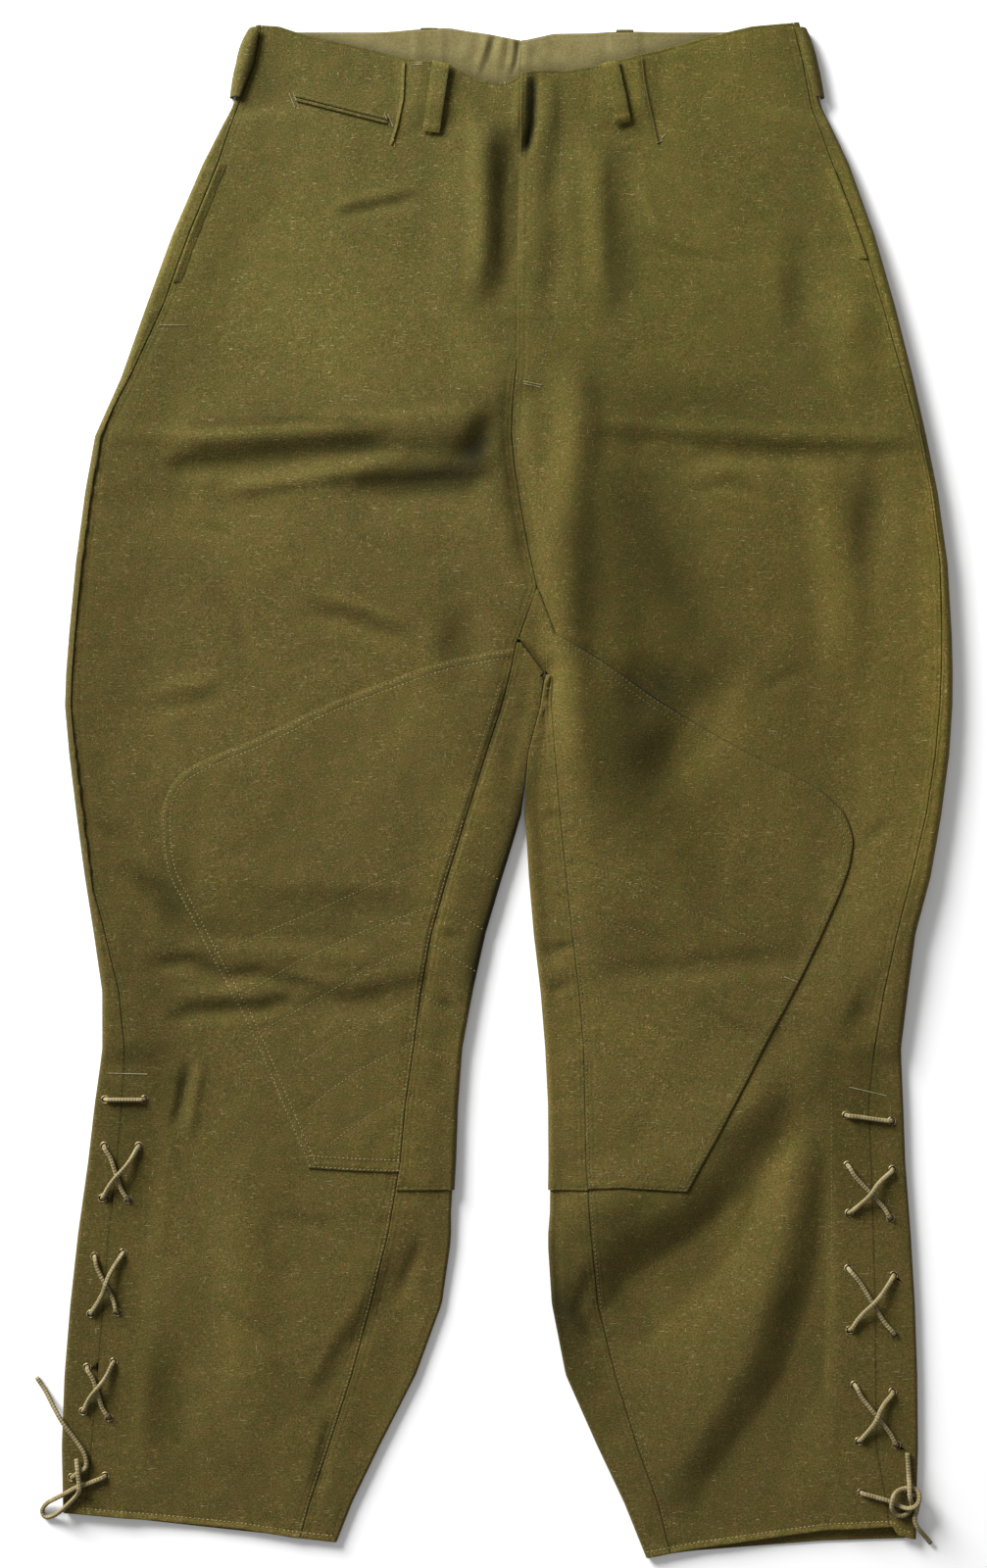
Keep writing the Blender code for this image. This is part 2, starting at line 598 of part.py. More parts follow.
def frontLoop(side, home):
    (a1, d1), (a2, d2) = FRONT_LOOPS[side]
    shares = (0, 0.06, 0.2, 0.4, 0.6, 0.8, 0.94, 1)
    bulges = (0, 0.1, 1.0, 1.8, 1.8, 1.0, 0.1, 0)
    rows = []
    for share, bulge in zip(shares, bulges):
        a, d = a1 + (a2 - a1) * share, d1 + (d2 - d1) * share
        crown = max(topHeight(side, a + s * LOOP_WIDE / 2, max(d, along(WAIST_FRONT, a))) for s in (-1, 0, 1))
        rows.append((a, d, crown + 0.45 + bulge))
    strip("belt_loop_front_" + side, rows, LOOP_WIDE, LOOP_THICK, home)


def backLoop(side, home):
    middle, top = BACK_LOOPS[side]
    bpy.ops.mesh.primitive_cube_add(size=1, location=place(middle, top + LOOP_LONG / 2, LOOP_THICK / 2))
    item = bpy.context.object
    item.name = item.data.name = "belt_loop_back_" + side
    item.data.transform(Matrix.Diagonal((LOOP_WIDE * MM, LOOP_LONG * MM, LOOP_THICK * MM, 1)))
    for old in list(item.users_collection):
        old.objects.unlink(item)
    home.objects.link(item)
    item.data.materials.append(material(item.name, COLORS["drill"]))
    rim = item.modifiers.new("rim", "BEVEL")
    rim.width = 0.4 * MM
    rim.segments = 1


def sideLoop(side, home):
    """The loop on the side seam, which bows out beyond the folded edge."""
    out = SIDES[side]
    points = []
    shares = (0, 0.07, 0.25, 0.5, 0.75, 0.93, 1)
    for share in shares:
        down = SIDE_LOOP["top"] + (SIDE_LOOP["foot"] - SIDE_LOOP["top"]) * share
        fold = foldPoints(side, "outer", down)
        radius = (fold[0][1] - fold[-1][1]) / 2
        middle = (fold[2][0] - out * radius, fold[2][1])
        away = 0.6 + SIDE_LOOP["bulge"] * max(0, sin(pi * (share - 0.07) / 0.86)) ** 0.8
        row = []
        for angle, extra in ((-22, 0), (10, 1), (42, 0.75), (74, 0.3), (96, 0)):
            reach = radius + 0.6 + (away - 0.6) * extra
            row.append((middle[0] + out * reach * cos(radians(angle)), down,
                        middle[1] + reach * sin(radians(angle))))
        points.append(row)
    item = finish(gridMesh(points, flip=side == "right"), "belt_loop_side_" + side, home)
    thicken(item, LOOP_THICK, 1)


# ---------------------------------------------------------------- lacing
def lacingUnderlap(side, home):
    half = 5.5
    points = []
    for down in (742, 770, 800, 830, 860, 890, 920, 950, 985, 1015, 1042):
        seam = edge(side, "outseam", down)
        row = []
        for step in (-half, -half / 3, half / 3, half):
            low = min(topHeight(side, seam + step + s, down) for s in (-3, 0, 3)) - CLOTH - 0.35
            row.append((seam + step, down, low))
        points.append(row)
    item = finish(gridMesh(points, flip=True), "lacing_underlap_" + side, home)
    thicken(item, CLOTH, -1)


def eyeletCutter(side, cutters):
    bm = bmesh.new()
    bottom, top = CLOTH + 1.4, 16
    for row in EYELETS[side]:
        for across, down in (row[:2], row[2:]):
            made = bmesh.ops.create_cone(bm, cap_ends=True, segments=8, radius1=EYELET_HOLE / 2 * MM,
                                         radius2=EYELET_HOLE / 2 * MM, depth=(top - bottom) * MM)
            bmesh.ops.translate(bm, verts=made["verts"], vec=place(across, down, (top + bottom) / 2))
    item = finish(bm, "eyelets_" + side, cutters, kind=None)
    item.hide_render = True
    item.display_type = "WIRE"
    return item


# Rise of the strands that cross outside, as (share of the way, rise): the one on top, the one under it.
CROSSING = ((0.34, 2.5), (0.5, 4.1), (0.66, 2.5))
UNDER = ((0.5, 0),)
OUTSIDE_TURN, INSIDE_TURN = 2.2, 1.6       # from an eyelet's middle to where the lace turns along the cloth
# What leaves the last eyelets, (across, down, height over the cloth or None on the surface below).
LACE_STARTS = {   # the end that is tied, from its tip to the front panel's lowest eyelet
    "right": ((-301, 1007, 9.4), (-300, 1013, 11.4), (-299, 1021, 12.2), (-298.5, 1027, 12.2),
              (-300.5, 1032, 8.9), (-306, 1038, 8.6), (-312.5, 1044, 8.0), (-319, 1049, 3.4),
              (-324.5, 1050, 1.8), (-326.5, 1045.5, 1.8), (-323, 1040, 3.6), (-316.5, 1035.5, 7.3),
              (-309, 1031.5, 8.5), (-302, 1027.6, 8.5), (-293, 1024.5, 8.5)),
    "left": ((280.4, 1003, 8.6), (281, 1012, 8.6), (281.2, 1019, 9.4), (281.2, 1024.6, 11.8),
             (281.2, 1029.6, 12.6), (281.8, 1034, 12.5), (283.3, 1037.9, 9.6), (283.1, 1041.4, 8.7),
             (280.2, 1045.4, 8.7), (275.8, 1047, 8.7), (271.2, 1044.6, 9.0), (268.9, 1040.2, 11.9),
             (269, 1035.4, 12.4), (271.2, 1031, 10.8), (275.6, 1028.6, 8.8), (281.2, 1027.6, 8.8),
             (286.2, 1028.4, 9.4), (288.2, 1031.8, 11.2), (287.4, 1036.4, 12.6), (284, 1039.8, 12.9),
             (279.2, 1041, 11.2), (274.2, 1039.8, 8.8), (268, 1037, 8.7), (258, 1034, 8.6)),
}
LACE_ENDS = {     # the free end, from the back panel's lowest eyelet to its tip
    "right": ((-299.5, 1016.5, 8.6), (-294.5, 1012.5, 8.6), (-295.5, 1004, 8.6), (-302, 994, 8.4),
              (-311, 982, 8.2), (-318.5, 970.5, 5.4), (-324.5, 961, 1.9), (-330.5, 952, 1.8)),
    "left": ((286.2, 1033, 8.4), (288, 1036.6, 8.3), (287.6, 1041, 8.3), (286.6, 1045, 8.4),
             (285.6, 1050, 8.2), (288, 1056, 7.2), (293.5, 1062.8, 3.6), (298, 1068.5, 1.8)),
}


def laceOrder():
    """(column, row) of the eyelets as the lace passes them, up from the lowest and down again.
    It runs inside to the next row of its own column and outside across to the other column."""
    last = len(EYELETS["right"]) - 1
    rises = [(("back", "front")[row // 2 % 2], row) for row in range(last, -1, -1)]
    falls = [(("front", "back")[row // 2 % 2], row) for row in range(last + 1)]
    return rises + falls


def towards(start, target, amount):
    size = hypot(target[0] - start[0], target[1] - start[1])
    return tuple(s + (t - s) / size * amount for s, t in zip(start, target))


def laceRoute(side):
    """The lace from tip to tip: tied end, up one way, over the top bar, down again, free end."""
    eyes = [EYELETS[side][row][:2] if column == "front" else EYELETS[side][row][2:]
            for column, row in laceOrder()]
    inside = CLOTH + 0.55 + LACE / 2
    over = OVERLAY_GAP + LACE / 2
    stops = [LACE_STARTS[side][-1][:2], *eyes, LACE_ENDS[side][0][:2]]
    route = list(LACE_STARTS[side])
    for index, eye in enumerate(eyes):
        before, after = stops[index], stops[index + 2]
        top = topHeight(side, *eye)
        enters = index % 2 == 0
        passage = [(*towards(eye, before if enters else after, OUTSIDE_TURN), top + over),
                   (*eye, top - CLOTH / 2),
                   (*towards(eye, after if enters else before, INSIDE_TURN), inside)]
        route += passage if enters else passage[::-1]
        if not enters and index + 1 < len(eyes):
            onward = eyes[index + 1]
            climbs = (onward[0] - eye[0]) * (onward[1] - eye[1]) < 0      # such a strand lies on top
            for share, rise in CROSSING if climbs else UNDER:
                a, d = (s + (t - s) * share for s, t in zip(eye, onward))
                route.append((a, d, topHeight(side, a, d) + over + rise))
    return route + list(LACE_ENDS[side])


def smoothRoute(side, points):
    """Halfway points from a smooth curve on the free stretches, which bend most."""
    made = []
    for index in range(len(points) - 1):
        made.append(points[index])
        free = index < len(LACE_STARTS[side]) - 1 or index > len(points) - len(LACE_ENDS[side]) - 1
        if free and 0 < index < len(points) - 2:
            p0, p1, p2, p3 = (points[index + k] for k in (-1, 0, 1, 2))
            made.append([(9 * (b + c) - a - d) / 16 for a, b, c, d in zip(p0, p1, p2, p3)])
    made.append(points[-1])
    return made


def lace(side, home):
    route = smoothRoute(side, laceRoute(side))
    curve = bpy.data.curves.new("lace_" + side, "CURVE")
    curve.dimensions = "3D"
    curve.bevel_depth = LACE / 2 * MM
    curve.bevel_resolution = 2
    curve.use_fill_caps = True
    line = curve.splines.new("POLY")
    line.points.add(len(route) - 1)
    for point, where in zip(line.points, route):
        point.co = (*place(*where), 1)
    item = bpy.data.objects.new("lace_" + side, curve)
    curve.materials.append(material("lace_" + side, COLORS["lace"]))
    home.objects.link(item)


# ---------------------------------------------------------------- pockets
def seamBand(points, wide):
    """A band that runs beside a line of (across, down) points."""
    return list(points) + [(a + wide, d) for a, d in reversed(points)]


def pockets(fronts, home, cutters):
    (a1, d1), (a2, d2) = WATCH_POCKET["start"], WATCH_POCKET["end"]
    lip, slit = WATCH_POCKET["lip"], WATCH_POCKET["slit"]
    for name, near, far in (("upper", -slit / 2 - lip, -slit / 2), ("lower", slit / 2, slit / 2 + lip)):
        outline = ((a1, d1 + near), (a2, d2 + near), (a2, d2 + far), (a1, d1 + far))
        overlay("watch_pocket_welt_" + name, fronts["right"], outline, 0.9, home, cutters)
    for side, out in SIDES.items():
        overlay("front_slit_edge_" + side, fronts[side],
                seamBand(FRONT_SLITS[side], out * SLIT_LIP), 0.8, home, cutters)
        top, foot = SIDE_POCKETS[side]
        line = [(edge(side, "outseam", d) - out * 0.6, d)
                for d in (top + (foot - top) * k / 4 for k in range(5))]
        overlay("side_pocket_edge_" + side, fronts[side], seamBand(line, -out * POCKET_LIP), 0.9,
                home, cutters)


def backPatchOutline(side):
    out = SIDES[side]
    reach = [(edge(side, "inner", d) + out * along(PATCH_REACH, d), d)
             for d in (461, 490, 520, 550, 580, 615, 650, 690, 730, 775, 819.5)]
    beyond = edge(side, "inner", 461) - out * 45
    return reach + [(beyond, 819.5), (beyond, 450), (reach[0][0], 450)]


def build():
    clearScene()
    home = collection("knee_breeches")
    cutters = collection("cutters")
    fronts, backs = {}, {}
    for side in SIDES:
        fronts[side] = panel("front_" + side, side, frontGrid(side), home)
        backs[side] = panel("back_" + side, side, backGrid(side), home,
                            keep=lambda r, c: r >= CROTCH_ROW or c < 11)
        facing(side, home)
        frontLoop(side, home)
        sideLoop(side, home)
        backLoop(side, home)
        lacingUnderlap(side, home)
        overlay("knee_patch_front_" + side, fronts[side], PATCH_OUTLINES[side], PATCH, home, cutters)
        overlay("knee_patch_back_" + side, backs[side], backPatchOutline(side), PATCH, home, cutters)
    pockets(fronts, home, cutters)
    gusset(home)
    for side in SIDES:
        holes = eyeletCutter(side, cutters)
        cutWith(fronts[side], holes, "DIFFERENCE")
        cutWith(backs[side], holes, "DIFFERENCE")
        lace(side, home)


build()
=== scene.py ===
# Knee breeches laid flat, front side up: the cloth, thread, metal and cord over the frame's solids.
# Places on the garment are (across, down) in millimetres: across from the middle, down from the waist.
import bpy
import bmesh
import numpy as np
from math import cos, sin, pi, radians, hypot
from mathutils import Matrix, Vector, noise
from mathutils.bvhtree import BVHTree


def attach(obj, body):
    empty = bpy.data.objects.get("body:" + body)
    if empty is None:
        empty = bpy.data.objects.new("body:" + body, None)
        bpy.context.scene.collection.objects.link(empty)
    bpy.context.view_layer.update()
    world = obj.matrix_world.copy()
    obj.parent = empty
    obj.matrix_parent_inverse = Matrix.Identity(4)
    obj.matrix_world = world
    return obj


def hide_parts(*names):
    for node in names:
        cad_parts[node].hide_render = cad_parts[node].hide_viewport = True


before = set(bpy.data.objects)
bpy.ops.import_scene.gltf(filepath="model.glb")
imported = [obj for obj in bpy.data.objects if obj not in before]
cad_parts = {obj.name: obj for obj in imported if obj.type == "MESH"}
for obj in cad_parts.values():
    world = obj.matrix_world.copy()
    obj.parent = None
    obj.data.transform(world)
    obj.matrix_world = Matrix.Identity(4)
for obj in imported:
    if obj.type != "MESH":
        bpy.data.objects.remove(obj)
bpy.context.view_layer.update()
mm = 0.001

garment = {
    "length": 1078.5, "wall": 1.2, "facingWall": 1.0, "patchWall": 1.1, "loopWall": 1.6,
    "seamGap": 0.14, "laidGap": 2.4, "leastGap": 1.0, "facedGap": 3.0, "lacedGap": 3.9,
    "billow": 2.6, "billowZone": 60, "overlayGap": 0.4, "loopLift": 2.0, "loopWide": 11.5,
    "leastTop": 4.2,
}
patchLift = garment["overlayGap"] + garment["patchWall"] + 0.02
sides = {"right": -1, "left": 1}          # the wearer's sides, and the way each one's outer edge faces

# one row for each station down the garment: edges and seams of both legs
stationNames = ("down", "rightOuter", "rightOutseam", "rightInseam", "rightInner",
                "leftInner", "leftInseam", "leftOutseam", "leftOuter")
stations = (
    (0, -176, -171.5, 9, 27, 27, 35, 201, 205.6),
    (30, -182, -177.5, 9, 27, 27, 35, 208.4, 212.9),
    (60, -193.3, -188.8, 9, 27, 27, 35, 214, 221.5),
    (100, -213.4, -202, 9, 27, 27, 35, 228.2, 240.2),
    (150, -234.6, -222, 9, 27, 27, 35, 246.8, 258),
    (200, -252.8, -240, 9, 27, 27, 35, 262.9, 272.3),
    (250, -270.4, -263, 9, 27, 27, 35, 277.3, 284.9),
    (291, -288.7, -284.3, 9, 27, 27, 35, 288.6, 294.1),
    (330, -295.6, -290.8, 9, 27, 27, 35, 296.6, 302.1),
    (380, -302.2, -297.4, 9, 27, 27, 35, 302.8, 309),
    (430, -306.9, -301.4, 8.3, 27, 27, 35, 304.2, 312),
    (457, -309, -303.6, 2.5, 27.1, 27, 32.4, 303.8, 312.6),
    (480, -309.8, -304, -3.4, 23.9, 23.5, 31.3, 302.8, 312.4),
    (514, -306.8, -302.3, -14.4, 15.1, 14.6, 33.9, 299.6, 310.2),
    (536, -304.1, -299.6, -21.3, 12.8, 13.0, 35.8, 296.3, 307.3),
    (556, -301.7, -297.2, -27.6, 10.2, 12.2, 37.5, 293.2, 304.7),
    (575, -299.2, -294.6, -33.5, 4.8, 13.9, 39.3, 288.9, 301.5),
    (600, -295.8, -291, -41.4, -3, 15.4, 41.8, 282.8, 297.1),
    (640, -289.5, -280.4, -52.7, -14.8, 18.8, 45.9, 272.5, 286.5),
    (680, -283.8, -271, -59.8, -23.6, 23.5, 50.8, 264.2, 281.4),
    (720, -283.9, -267.3, -65.1, -31, 26.8, 54.1, 257.8, 276.7),
    (760, -289.5, -270.1, -70.9, -34, 28.8, 54.9, 253.6, 278.5),
    (800, -294.1, -273.4, -74.4, -35.4, 29.1, 55.6, 255.6, 279.9),
    (850, -301.1, -278.8, -83, -38.4, 28.4, 59, 257.1, 283.7),
    (900, -306.6, -282.8, -95.1, -45.6, 31.6, 64.1, 258.5, 286.7),
    (950, -310.7, -286.9, -108.7, -63.9, 41.4, 76.3, 258.8, 288.4),
    (1000, -312.6, -291.1, -124.8, -89.4, 63.6, 91.9, 259.2, 288.9),
    (1040, -311.8, -295.3, -138.2, -108.7, 82.6, 106.3, 266.5, 287.7),
    (1079, -311.2, -296, -149, -124, 98.4, 115.9, 271, 287.4),
)
centreFront = ((0, 10), (97, 9), (155, 7.5), (243, 7), (266, 4.5), (290, 3.5), (314, 6), (342, 10.4),
               (369, 15.4), (397, 21.4))
gusset = {"top": (21.4, 397), "right": (8.3, 433), "left": (35, 433), "bottom": (27, 457)}
fly = {"extension": 6, "extensionFoot": 226, "taper": 12, "raised": 1.6, "flat": 10, "blend": 24,
       "foot": 251, "slotFade": (30, 14)}
waistFront = ((-176, 2), (-160, 3), (-145, 8), (-100, 18), (-70, 26), (-40, 30), (-20, 41), (-2, 43),
              (8, 39), (10, 36), (21, 34), (42, 34), (68, 30), (95, 23), (138, 11), (172, 3), (205.6, 0))
waistBack = ((-176, 2), (-147, 6), (-92, 6), (-40, 3.5), (-14, 7), (11, 12), (33, 7), (105, 6),
             (155, 6), (205.6, 0))
storageCrease = ((-288, 291), (-219, 291), (-136, 285), (-70, 279), (-15, 276),
                 (4, 280), (64, 285), (126, 287), (195, 291), (285, 294))
hemFront = ((-312.6, 1046), (-269, 1050), (-187, 1058), (-149, 1064), (-122, 1067),
            (98, 1078.5), (132, 1072), (167, 1067), (222, 1059), (271, 1056), (274, 1062), (288, 1065))
hemBack = ((-312.6, 1046), (-269, 1051), (-187, 1060), (-122, 1067),
           (98, 1078.5), (132, 1074), (222, 1067), (288, 1065))
zones = {"waist": 76, "creaseTop": 264, "crease": 290, "creaseFoot": 316, "hem": 1000, "end": 1060,
         "crotch": 461}


def strokes(rows, lead=2):           # rows of their own numbers, then across and down of point after point
    return tuple((*row[:lead], row[lead] if isinstance(row[lead], tuple) else
                  tuple(zip(row[lead::2], row[lead + 1::2]))) for row in rows)


# folds of the laid cloth, ridges and troughs: half width, height, and the line each follows
folds = strokes((
    (10, 0.7, storageCrease[:5]), (11, -1.7, -240, 315, -215, 311, -177, 306, -129, 300, -83, 295),
    (9, 1.7, -196, 328, -150, 322, -126, 318, -101, 313, -66, 305),
    (11, -2.4, -112, 328, -67, 324, -12, 318), (14, -2.6, -6, 270, -20, 296, -40, 310),
    (6, -0.8, -222, 285, -191, 284, -142, 281, -93, 283), (10, 0.8, storageCrease[6:]),
    (11, -1.6, 85, 302, 168, 304, 237, 307), (12, -1.2, 35, 84, 33, 112, 31, 135),
    (12, -2.0, 2, 86, 1, 135, 0, 179), (14, 2.2, -17, 66, -17, 121, -19, 183),
    (14, -1.2, 35, 141, 33, 183, 30, 207), (14, 1.7, 62, 90, 64, 141, 66, 200),
    (17, -0.9, 84, 84, 86, 141, 90, 200), (14, -2.4, 5, 259, 3, 293, 10, 342, 19, 390),
    (22, 2.8, 38, 236, 50, 280, 44, 320, 40, 355, 40, 424, 43, 480, 48, 540),
    (24, 3.0, 240, 176, 242, 246), (18, -2.2, 207, 165, 206, 225), (18, -2.6, 259, 314, 257, 390),
    (24, 2.8, 221, 314, 235, 390, 240, 466), (44, 1.2, -219, 352, -150, 376, -95, 397),
    (24, -4.0, -34, 406, -28, 470), (12, -1.3, -136, 414, -101, 423, -72, 435),
    (13, -3.0, -262, 597, -244, 612, -224, 640), (15, -1.0, -150, 688, -107, 690, -70, 684),
    (9, -1.7, -236, 700, -221, 695, -198, 694, -174, 693, -150, 686),
    (9, 1.0, -232, 681, -200, 682, -174, 680),
    (9, -1.6, -248, 661, -221, 660, -198, 671, -174, 668, -151, 675, -127, 678),
    (14, 1.2, -240, 643, -198, 652, -150, 652, -88, 656), (20, -1.8, -191, 621, -81, 624, -60, 628),
    (14, -1.2, -76, 862, -90, 900, -116, 936, -136, 975), (26, -2.6, -236, 925, -232, 1012),
    (34, 3.0, -190, 820, -186, 914, -177, 990), (14, -1.1, 60, 667, 126, 664, 213, 656),
    (16, -3.0, 256, 680, 244, 712),
))
# smaller creases, in the same order
creases = strokes((
    (5, -0.8, 1, 466, -14.4, 514, -27.6, 556, -41.4, 600, -52.7, 640, -62, 700),
    (5, -1.0, -219, 301, -150, 296, -80, 290), (5, 0.8, -122, 130, -66, 118),
    (7, -1.2, -116, 136, -64, 124), (7, -0.7, -136, 411, -104, 421, -72, 435),
    (6, 0.8, -130, 402, -98, 412, -70, 424), (6, -1.0, -214, 352, -190, 362),
    (9, -1.2, -206, 395, -188, 420, -182, 446), (6, -1.6, -45, 640, -32, 643),
    (7, -1.6, -50, 689, -34, 692), (6, -1.8, -224, 733, -228, 756, -234, 776),
    (7, 1.4, -214, 728, -218, 752, -223, 782), (8, -1.4, -60, 854, -77, 897),
    (8, -1.2, -124, 983, -135, 1038), (7, -0.9, -160, 838, -118, 846),
    (9, 0.5, 139, 318, 160, 313, 185, 326), (8, -1.0, 128, 330, 158, 324, 182, 336),
    (6, -1.0, 20, 560, 44, 556), (5, -1.8, 22, 652, 34, 650, 46, 649),
    (5, -1.4, 26, 681, 38, 678, 47, 676), (9, 1.1, 24, 666, 46, 663),
    (8, -1.2, 57, 880, 50, 905, 62, 930), (8, -1.3, 268, 560, 252, 574), (9, -1.2, -290, 560, -262, 580),
    (6, -0.9, 96, 150, 120, 163, 150, 168), (7, 0.9, 92, 112, 108, 150), (8, -1.0, 176, 470, 214, 452),
    (8, 1.0, -250, 470, -205, 462), (8, -0.9, -246, 482, -200, 474), (7, -0.9, 150, 700, 182, 716),
    (7, -1.0, -190, 905, -160, 930),
))
# broad falls of the cloth, down from one side of a line to the other: width, reach, drop, line;
# going down the garment the drop is towards the left leg, going towards the right leg it is downward
falls = strokes((
    (18, 50, 4.6, -2, 66, -4, 100, -6, 130, -7, 165, -14, 202), (18, 45, 1.4, 74, 88, 77, 150, 80, 205),
    (16, 60, 4.6, -14, 292, -60, 296, -130, 300, -200, 304, -240, 303),
    (16, 34, 4.2, -10, 318, -60, 325, -114, 328), (12, 34, 2.2, 280, 299, 200, 294, 130, 291, 62, 284),
    (84, 36, 13.0, 78, 236, 84, 300, 86, 380, 94, 440, 90, 490, 76, 552),
    (30, 40, 3.0, 106, 340, 128, 400, 146, 440), (34, 34, 6.5, 160, 430, 138, 468, 116, 498, 86, 540),
    (36, 60, -3.6, 34, 440, 36, 520, 42, 600, 52, 690),
    (36, 64, 3.0, 96, 556, 118, 590, 140, 622, 152, 650),
    (34, 70, -3.2, 246, 330, 252, 420, 254, 500, 243, 580, 226, 650, 196, 705),
    (42, 56, 14.0, 214, 738, 198, 759, 182, 776, 166, 793, 155, 816, 140, 835, 121, 849, 98, 861, 77,
     872, 60, 890, 38, 908),
    (40, 50, 4.0, 124, 880, 88, 906, 40, 936),
    (38, 56, 11, 224, 762, 218, 814, 206, 876, 187, 944, 156, 990, 130, 1035, 120, 1053),
    (14, 34, 2.4, -48, 668, -107, 680, -150, 678),
    (24, 50, 2.6, -66, 846, -82, 887, -112, 929, -134, 975),
), lead=3)
